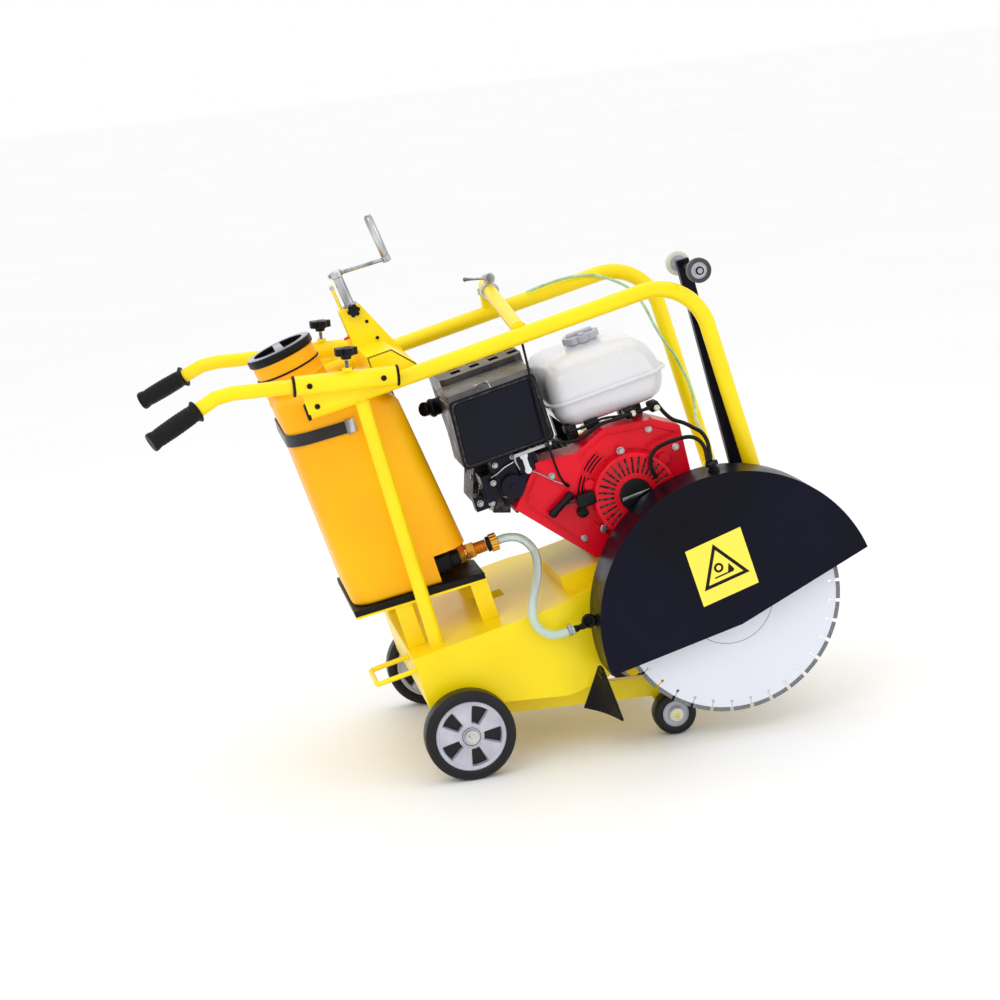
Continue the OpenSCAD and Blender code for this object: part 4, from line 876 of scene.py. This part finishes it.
def lines():
    part = Part().tube(curve_through(CABLE_ROUTE, STEPS), 2.5, 12)
    for end, after in ((CABLE_ROUTE[0], CABLE_ROUTE[1]), (CABLE_ROUTE[-1], CABLE_ROUTE[-2])):
        p, q = Vector(end), Vector(after)
        part.rod(p, p + 14 * (q - p).normalized(), 3.8, 20, 2.9)
    make(part, "throttle_cable", RUBBER, smooth=60, stands_for=("lines",))
    make(Part().tube(curve_through(FUEL_HOSE_ROUTE, STEPS), 4, 14)
         .tube(curve_through(PULSE_HOSE_ROUTE, STEPS), 4, 14), "black_hoses", RUBBER, smooth=60)
    make(Part().tube(curve_through(THIN_TUBE_ROUTE, STEPS), 3, 12), "thin_tube", GREEN_CAP, smooth=60)
    make(Part().lathe((48, -287, 250), Z,
            [(11.5, 0), (11.5, 8), (8.5, 10), (8.5, 14), (10.5, 15), (10.5, 19), (7, 21)], 40)
         .rod((36, -286, 268), (60, -286, 268), 4.6, 24), "guard_tee", PLASTIC)
    # clamp of the throttle lever on the lifting bar
    axis = Vector((16, 400, 49)).normalized()
    middle = Vector((-197.2, 148, 665.3))
    part = (Part().lathe(middle - 9 * axis, axis,
            [(14.1, 0), (18.4, 0), (19, 1), (19, 17), (18.4, 18), (14.1, 18)], 56, closed=True)
            .box((-203, 140, 680), (-181, 156, 700), 2.5))
    part.hex_bolt((-192, 140, 676), -Y, 9, 4)
    part.rod((LEVER_X, 127, LEVER_Z), (LEVER_X, 141, LEVER_Z), 4.95)
    part.hex_bolt((LEVER_X, 127.6, LEVER_Z), -Y, 12, 4)
    make(part, "lever_clamp", CHROME, bevel=0.4)
    part = Part().lathe((LEVER_X, 128, LEVER_Z), Y, [(5.1, 0), (9.6, 0), (9.6, 4), (5.1, 4)], 40,
            closed=True)
    tip = Vector((LEVER_X - 50, 130, LEVER_Z + 14.3))
    part.tube([(-197, 130, 694), (-215, 130, 699.2), tip], [3.0, 2.8, 3.2], 14)
    part.ball(tip, 4.6)
    make(part, "throttle_handle", CHROME, "throttle_lever", stands_for=("throttle_lever",))
    make(Part().rod((-201.6, 203, 656), (-200.9, 203, 668), 13.2, 40)
         .ball((-200.6, 203, 664), 11), "upright_cap", GREEN_CAP)


# ---- Engine ----

def crank_point(r, a, y):
    return CRANK.x + r * cos(a), y, CRANK.z + r * sin(a)


def recoil_cover():
    """Dished starter cover with a ring of slots cut through it, and its hub and lugs."""
    slots, per_slot = 32, 3
    slot_in, slot_out, half = 43, 75, 2.2
    # radius and depth of each ring, over the face and back along the inside
    profile = [(29, -210.2), (34, -210.6), (slot_in, -210.6), (slot_out, -210), (78, -209.4),
            (81.5, -207.4), (83.6, -203.6), (84, -199), (84, -185.2), (81.4, -185.2), (81.4, -199),
            (79.6, -203.4), (slot_out, -205), (slot_in, -205.4), (29, -205.4)]
    part = Part()
    rings = []
    for r, y in profile:
        spread = asin(half / max(r, slot_in))
        rings.append(part.loop_at(crank_point(r, a, y) for middle in around(slots)
                for a in (middle - spread, middle + spread, middle + pi / slots)))
    face, back = 2, 12
    count = slots * per_slot
    for i in range(len(rings)):
        a, b = rings[i], rings[(i + 1) % len(rings)]
        for k in range(count):
            if i in (face, back) and k % per_slot == 0:
                continue
            n = (k + 1) % count
            part.bm.faces.new((a[k], a[n], b[n], b[k]))
    for k in range(0, count, per_slot):
        outer = [rings[face][k], rings[face][k + 1], rings[face + 1][k + 1], rings[face + 1][k]]
        inner = [rings[back + 1][k], rings[back + 1][k + 1], rings[back][k + 1], rings[back][k]]
        part.bridge(outer, inner)
    make(part, "recoil_cover", RED, bevel=0.7, smooth=40, stands_for=("recoil_housing",))
    lugs = Part()
    for a in (30, 150, 270):
        lugs.lathe(crank_point(90, radians(a), -185.2), -Y, [(12, 0), (12, 9), (11, 10.6), (0, 10.6)], 40)
    make(lugs, "recoil_lugs", RED)
    make(Part().lathe((CRANK.x, -204.9, CRANK.z), Y, [(26, 0), (79, 0), (79, 1.4), (26, 1.4)], 64,
            closed=True), "recoil_screen", DARK_METAL)
    make(Part().lathe((CRANK.x, -205, CRANK.z), -Y, [(30, 0), (30, 7.4), (28.6, 8.5), (12, 8.7), (0, 8.7)],
            64), "recoil_hub", PLASTIC)
    make(Part().box((CRANK.x - 28, -215.4, CRANK.z - 4), (CRANK.x + 28, -213, CRANK.z + 4), 0.8),
         "recoil_hub_bar", CHROME)


def shroud_details():
    refine("fan_shroud", RED, bevel=2.6, segments=4)
    recoil_cover()
    ribs = Part()
    for r, start, end in ((92, 108, 168), (99, 110, 166), (106, 112, 164), (113, 113, 162), (96, 196, 250),
            (90, 20, 80)):
        ribs.tube([(x, -186.2, z) for x, z in arc(CRANK.x, CRANK.z, r, start, end, 26)], 1.9, 8)
    ribs.tube([(-262, -185.6, 352), (-304, -185.6, 300), (-300, -185.6, 286), (-216, -185.6, 176)], 2.2, 8)
    ribs.tube([(-180, -185.6, 346), (-116, -185.6, 372), (-24, -185.6, 358), (16, -185.6, 332)], 2.2, 8)
    make(ribs, "shroud_ribs", RED, smooth=60)
    slots = Part()
    for k, r in enumerate((95.5, 102.5, 109.5)):
        for start, end in ((114 + k, 136), (142, 162 - k)):
            slots.tube([(x, SHROUD_Y, z) for x, z in arc(CRANK.x, CRANK.z, r, start, end, 14)], 1.7, 8)
    make(slots, "shroud_louvres", PLASTIC, smooth=60)
    bolts = Part()
    for a in (30, 150, 270):
        bolts.hex_bolt(crank_point(90, radians(-a), -196), -Y, 10, 5, washer=8)
    for x, z in ((-240, 330), (-218, 190), (-30, 352), (10, 300)):
        bolts.hex_bolt((x, -184.8, z), -Y, 9, 4, washer=7)
    make(bolts, "shroud_bolts", STEEL)
    make(Part().lathe((CRANK.x, -209.8, CRANK.z), -Y,
            [(33, 0), (32.8, 2.4), (31, 4.2), (22, 4.8), (6, 5), (0, 5)], 72), "starter_hub", PLASTIC,
         smooth=40)
    make(Part(turned(CRANK.x, 0, CRANK.z, 0)).box((-28.6, -216.6, -4.3), (28.6, -213.4, 4.3), 0.9),
         "starter_hub_bar", CHROME)


def starter_grip():
    a, b = Vector((-262, -201, 263)), Vector((-222, -201, 284))
    along = (b - a).normalized()
    length = (b - a).length
    make(Part().lathe(a - 9 * along, along,
            [(2, 0), (6, 1.2), (8.6, 4.5), (9, 9), (7.6, 16), (7.2, 9 + length / 2), (7.6, length + 2),
            (9, length + 9), (8.6, length + 13.5), (6, length + 16.8), (2, length + 18)], 40),
         "starter_handle", PLASTIC, "recoil_grip", smooth=60, stands_for=("recoil_grip",))
    count = 90
    rope = Part()
    start, way = Vector((-242, -201, 273.5)), Vector((0.986, 0, -0.168))
    rope.rod(start, start + 128 * way, 2.3, 20)
    for phase in (0, 120, 240):
        path = []
        for k in range(count):
            turn = radians(phase + k * 40)
            path.append(start + way * (128 * k / (count - 1)) + 1.5 * Vector((0, cos(turn), sin(turn))))
        rope.tube(path, 1.3, 6)
    make(rope, "starter_rope", STRAP, "recoil_grip", smooth=60)
    make(Part().box((-211, -213.4, 255), (-175, -187, 281), 4)
         .box((-203, -214.4, 260), (-184, -212.6, 268), 0.6), "rope_outlet", PLASTIC)


def engine_switch():
    make(Part().lathe((-206, -185.4, 243), -Y, [(11, 0), (11, 8), (9.6, 11), (5, 12.6)], 40)
         .box((-11, -201, -4), (11, -197, 4), 1.4, at=turned(-206, 0, 243, 20)), "stop_switch",
         PLASTIC, "engine_switch", stands_for=("engine_switch",))
    make(Part().lathe((-206, -184.6, 243), -Y, [(11.2, 0), (14.5, 0), (14, 1.8), (11.2, 2)], 40,
            closed=True), "switch_ring", RED)


def fuel_tank():
    y0, y1 = -146, 134
    part = Part()
    # height, x range, y range and corner radius of each section; the bottom falls towards the front
    sections = [(393, -138, 4, y0 + 30, y1 - 30, 26), (396, -160, 16, y0 + 14, y1 - 14, 28),
            (402, -172, 26, y0 + 7, y1 - 7, 30), (410, -181, 33, y0 + 3, y1 - 3, 33),
            (424, -187.5, 39, y0 + 0.6, y1 - 0.6, 34), (445, -190, 44, y0, y1, 34),
            (445.9, -197, 51, y0 - 7, y1 + 7, 40), (446.6, -198, 52, y0 - 8, y1 + 8, 40.5),
            (450.4, -198, 52, y0 - 8, y1 + 8, 40.5), (451.1, -197, 51, y0 - 7, y1 + 7, 40),
            (452, -190, 44, y0, y1, 34), (462, -189.4, 41.6, y0 + 0.4, y1 - 0.4, 34),
            (476, -188, 38, y0 + 1.4, y1 - 1.4, 34), (490, -186, 33.5, y0 + 3.5, y1 - 3.5, 34),
            (500, -183, 28.5, y0 + 6.5, y1 - 6.5, 34), (508, -178, 22, y0 + 11, y1 - 11, 33),
            (514, -172, 14.5, y0 + 17, y1 - 17, 31), (519, -163.5, 4, y0 + 25.5, y1 - 25.5, 28),
            (522.6, -152, -12, y0 + 38, y1 - 38, 24), (524.8, -138, -30, y0 + 54, y1 - 54, 20),
            (526.2, -118, -52, y0 + 76, y1 - 76, 14)]
    part.loft(sections, 12)
    make(part, "fuel_tank_shell", WHITE, smooth=50, stands_for=("fuel_tank",))
    make(Part().lathe((FUEL_CAP_X, 0, 521), Z, [(39, 0), (36, 5), (31, 7.6), (30.5, 8.9)], 64), "fuel_neck",
         WHITE)
    cap = (Part(Matrix.Translation((FUEL_CAP_X, 0, 530.4)))
            .prism(lobes(38, 5, 8, 128), 0.4, 13.6, "Z").box((-27, -6, 13), (27, 6, 20.6), 2.4))
    cap.box((-6, -27, 13), (6, 27, 17), 1.8)
    cap.rod((0, 0, -28), (0, 0, 1), 21, 40)
    make(cap, "fuel_cap_body", CAST, "fuel_cap", bevel=1.6, segments=3,
         stands_for=("fuel_cap",))
    feet = Part()
    for x, z in ((-160, 394), (-24, 383)):
        for y in (-78, 78):
            feet.lathe((x, y, z), Z, [(10, 0), (12, 3), (9, 6), (12, 9), (11, 13)], 32)
    make(feet, "tank_rubber_mounts", RUBBER, smooth=50)


def air_cleaner():
    """Dark box whose front is a little wider below, under a grey lid with a wire latch."""
    def front(grow):
        corners = [(-399 - grow, 401 - grow), (-211 + grow, 401 - grow), (-211 + grow, 538 + grow),
                (-388 - grow, 538 + grow)]
        r = 12
        line = []
        for i, (x, z) in enumerate(corners):
            here = Vector((x, z))
            before = (Vector(corners[i - 1]) - here).normalized()
            after = (Vector(corners[(i + 1) % 4]) - here).normalized()
            for k in range(9):
                t = k / 8
                a, b = here + r * before, here + r * after
                p = (1 - t) ** 2 * a + 2 * t * (1 - t) * here + t * t * b
                line.append((p.x, p.y))
        return line
    make(Part().prism(front(0), -200, -72), "air_filter_cover", NAVY, bevel=4, segments=4, smooth=50,
         stands_for=("air_cleaner",))
    make(Part().tube([(x, -199.6, z) for x, z in front(-6)], 2.4, 10, closed=True), "cover_bead",
         DARK_METAL, smooth=60)
    make(Part().prism(front(-9), -201.6, -198), "cover_panel", NAVY, bevel=1.2, segments=3)
    make(Part().box((-389, -198, 531), (-210, -64, 548), 7, 4), "filter_lid", GREY_SHELL, smooth=50)
    make(Part().box((-328, -186, 546.5), (-298, -172, 550), 1.2)
         .tube([(-326, -199, 538), (-325, -197, 546), (-321, -186, 550.4), (-305, -186, 550.4),
                (-301, -197, 546), (-300, -199, 538)], 1.5, 10), "filter_latch", CHROME, smooth=50)


def muffler():
    refine("muffler", DARK_METAL, bevel=2.0, segments=3)
    refine("muffler_guard", GREY_SHELL, bevel=0.5, segments=2, slotted=True)
    part = Part()
    for x, y in ((-372, -36), (-372, 138), (-206, -36), (-206, 138)):
        part.hex_bolt((x, y, 412), (-1 if x < -300 else 1, 0, 0), 8, 3)
    make(part, "muffler_screws", STEEL)
    part = Part().lathe((-376, 20, 500), -X,
            [(17.2, 0), (18.6, 1), (18.6, 5), (17.2, 6), (17.2, 18), (19, 20), (19, 26), (15, 30)], 48)
    part.tube([(-404, 18, 501), (-411, 14, 503), (-417, 9, 505)], [13.4, 14, 14.4], 28)
    make(part, "exhaust_outlet", PLASTIC, smooth=50)


def engine_body():
    refine("engine_block", DARK_METAL, bevel=1.6, segments=2)
    refine("carburettor", NAVY, bevel=2.0, segments=3)
    refine("choke_lever", CHROME, bevel=0.5)
    refine("crankshaft", STEEL, bevel=0.6)
    refine("shaft_bearings", DARK_METAL, bevel=1.5, segments=3)
    refine("drive_belts", RUBBER, bevel=0.6)
    part = Part()
    part.bolts([(x, -180, z) for x, z in ((-338, 388), (-300, 392), (-352, 356), (-334, 330), (-268, 396))],
            -Y, 8, 4, washer=6)
    part.bolts([(-384, -128, 315), (-362, -128, 308)], -Y, 9, 5, washer=7)
    make(part, "carburettor_screws", STEEL)
    make(Part().lathe((-318, -194, 338), -Y, [(22, -2), (22, 1), (18, 2.6), (7, 3), (7, 6), (0, 6)], 48)
         .box((-376, -150, 318), (-352, -120, 352), 4).box((-300, -186, 352), (-262, -150, 398), 5),
         "carburettor_covers", NAVY, smooth=40)
    make(Part().box((-300, -204.5, 393), (-222, -199.5, 400), 1.2)
         .tube([(-299, -202, 397), (-300, -200, 384), (-296, -192, 366)], 2.2, 10),
         "control_bracket", STEEL)
    part = (Part()
            .tube([(-352, -172, 366), (-340, -186, 372), (-322, -189, 380), (-300, -188, 384)], 1.6, 8)
            .tube([(-346, -150, 322), (-330, -182, 318), (-306, -190, 326)], 1.8, 8))
    part.tube([(-378, -120, 330), (-376, -140, 345), (-366, -164, 352)], 3.2, 10)
    part.tube([(-216, -188, 302), (-236, -189, 318), (-262, -188, 344), (-284, -187, 362)], 1.3, 8)
    make(part, "carburettor_linkage", STEEL, smooth=60)
    part = Part().tube(curve_through([(-240, -184, 396), (-215, -189, 392), (-190, -189, 384),
            (-160, -188.5, 382), (-120, -188.5, 394), (-80, -180, 392), (-30, -160, 386), (8, -141, 384)],
            STEPS), 3.4, 12)
    part.tube(curve_through([(-182, -186, 402), (-150, -176, 398), (-110, -180, 402), (-64, -168, 391),
            (-10, -158, 384)], STEPS), 2.6, 10)
    make(part, "engine_wiring", RUBBER, smooth=60)
    part = Part().boxes(((-182, -165, 388), (-166, -120, 404), 3),
            ((-140, -150, 384), (-112, -120, 402), 4), ((-60, -160, 378), (-38, -118, 396), 3),
            ((-8, -150, 372), (12, -112, 391), 4))
    make(part, "tank_brackets", PLASTIC)
    part = Part().bolts([(x, -166, z) for x, z in ((-150, 396), (-100, 392), (-46, 388), (2, 382))], -Y, 8,
            5, washer=6)
    make(part, "bracket_bolts", CREAM)
    part = Part(BARREL).bolts([(x, y, 254) for x in (-56, 56) for y in (-66, 66)], Z, 12, 7, washer=9)
    make(part.bolts([(0, -40, 293), (0, 40, 293)], Z, 9, 4), "head_bolts", STEEL)
    part = Part().bolts([(x, y, 142) for x in (-179, -17) for y in (-52, 52)], Z, 17, 6, washer=11)
    make(part, "engine_bolts", STEEL, stands_for=("fasteners",))
    make(Part().rod((-40, -98, 160), (-40, -110, 166), 11, 32)
         .lathe((-40, -109, 165.6), (0, -1, 0.5), [(9, 0), (12, 1), (12, 6), (9, 7)], 12),
         "oil_filler_plug", PLASTIC)


# ---- Depth control and guide ----

def depth_control():
    part = Part(SCREW).lathe((0, 0, -860), Z, [(6.2, 0), (6.9, 1), (6.9, 440), (8, 442), (8, 800)], 32)
    turns, pitch, steps = 108, 4.0, 14
    part.tube([(7.0 * cos(2 * pi * k / steps), 7.0 * sin(2 * pi * k / steps), -856 + pitch * k / steps)
            for k in range(turns * steps)], 0.95, 5)
    make(part, "depth_screw", STEEL, "crank", smooth=50, stands_for=("crank",))
    part = (Part(SCREW).lathe((0, 0, -60), Z, [(9.4, 0), (10, 0.8), (10, 142), (9, 144.6)], 48)
            .lathe((0, 0, 16.4), Z, [(12, 0), (14, 0.8), (14, 4), (12, 4.8)], 48))
    part.lathe((0, 0, 77), Z, [(11, 0), (13, 1.6), (13, 12.4), (11, 14), (5, 14)], 48)
    part.hex_bolt((-13.2, 0, 85), -X, 8, 3)
    part.rod((0, 0, 85), (CRANK_ARM, 0, 72), 4, 28)
    part.lathe((CRANK_ARM, 0, 66), Z, [(8, 0), (9, 1), (9, 11), (8, 12)], 36)
    part.rod((CRANK_ARM, 0, 72), (CRANK_ARM, 0, 164), 4.5, 28)
    part.lathe((CRANK_ARM, 0, 161.8), Z, [(6, 0), (7, 0.6), (7, 2.2), (6, 2.8)], 36)
    make(part, "crank_handle", CHROME, "crank", smooth=35)
    make(Part(SCREW).lathe((CRANK_ARM, 0, 78.4), Z, mirrored([(4.6, 0), (7.6, 0), (8.5, 1.4)], 82.8), 48,
            closed=True), "crank_grip_sleeve", CHROME, "crank_grip", stands_for=("crank_grip",))
    refine("depth_nut", STEEL, bevel=1.2, segments=3)
    refine("depth_pointer", POINTER, bevel=0.5)
    make(Part(SCREW).lathe((-19, 0, -60), Z, [(3.2, 0), (3.5, 0.6), (3.5, 126), (2.2, 128.4)], 24)
         .lathe((-19, 0, 60), Z, [(4.6, 0), (4.6, 5), (3.6, 6)], 24), "depth_guide_rod", CHROME)
    screws = Part(SCREW)
    for z in (-60, -22):
        screws.lathe((22 if z < -40 else 16, -22.2, z), -Y, [(3.4, 0), (3.4, 1.6), (2.4, 2.4)], 20)
    make(screws, "bracket_screws", PLASTIC)


def guide():
    refine("guide_arm", BLACK_GLOSS, bevel=1.2, segments=3)
    for name, y, hub in (("outer", -288, GREY_SHELL), ("inner", -124, PALE)):
        body = "guide_wheel_" + name
        make(Part(GUIDE).lathe((0, y, GUIDE_WHEEL_Z), Y,
                mirrored([(16, 0.6), (21.5, 0.2), (23.6, 1.6), (24, 4)], 14), 72, closed=True),
             body + "_tread", hub, body, smooth=40, stands_for=(body,))
        make(Part(GUIDE).lathe((0, y, GUIDE_WHEEL_Z), Y,
                [(5.1, -0.2), (10.6, -0.2), (11.2, 1), (11.2, 3), (16.4, 3.6), (16.4, 10.4), (11.2, 11),
                (11.2, 16), (10.6, 16.6), (5.1, 16.6)], 64, closed=True), body + "_hub", CAST, body,
             smooth=30)
    make(Part(GUIDE).hex_bolt((0, -293, GUIDE_WHEEL_Z), Y, 10, 4), "guide_axle_nut", STEEL, "guide_arm")
    make(Part().hex_bolt((115, -182.4, 118), Y, 13, 5), "guide_pivot_bolt", STEEL)


# ---- Stage ----

def camera():
    rig = bpy.data.cameras.new("camera")
    rig.sensor_width = 36
    rig.lens = 87.57
    rig.clip_start = 0.1
    rig.clip_end = 50
    obj = link("camera", rig)
    turn = RIG.to_3x3() * (1 / MM)
    side = turn @ Vector((0.93371562, -0.17156037, -0.31423268))
    ahead = turn @ Vector((0.1032171, 0.96943553, -0.22257804))
    up = side.cross(ahead)
    matrix = Matrix((side, up, -ahead)).transposed().to_4x4()
    matrix.translation = RIG @ Vector((-838.3, -4761.8, 1372.0))
    obj.matrix_world = matrix
    bpy.context.scene.camera = obj


def light(name, place, target, size, power):
    data = bpy.data.lights.new(name, "AREA")
    data.size = size
    data.energy = power
    obj = link(name, data)
    obj.location = place
    obj.rotation_euler = (Vector(target) - Vector(place)).to_track_quat("-Z", "Y").to_euler()


def studio():
    bm = bmesh.new()
    bmesh.ops.create_grid(bm, x_segments=1, y_segments=1, size=900)
    floor = link("floor", mesh_of(bm, "floor"))
    floor.data.materials.append(finish_of("pale_floor", (0.97, 0.97, 0.97), rough=0.6, tint=0.01, patch=1,
            grain=0.01))
    world = bpy.data.worlds.new("studio")
    world.use_nodes = True
    set_values(world.node_tree.nodes["Background"], Color=(1, 1, 1, 1), Strength=1.0)
    bpy.context.scene.world = world
    light("key", (-1.6, -2.6, 3.0), (0, 0, 0.5), 2.2, 24)
    light("fill", (2.6, -2.2, 1.6), (0.1, 0, 0.4), 2.0, 8)
    light("top", (0.2, 0.6, 3.2), (0, 0, 0.4), 2.4, 12)
    bpy.context.scene.view_settings.view_transform = "Standard"


camera()
studio()
water_hose()
lines()
chassis()
console_ends()
handle_sleeves()
grips()
knobs()
rear_wheels()
front_wheels()
axle_ends()
blade()
guard()
guard_flap()
water_tank()
tank_cap()
tank_strap()
water_valve()
shroud_details()
starter_grip()
engine_switch()
fuel_tank()
air_cleaner()
muffler()
engine_body()
depth_control()
guide()
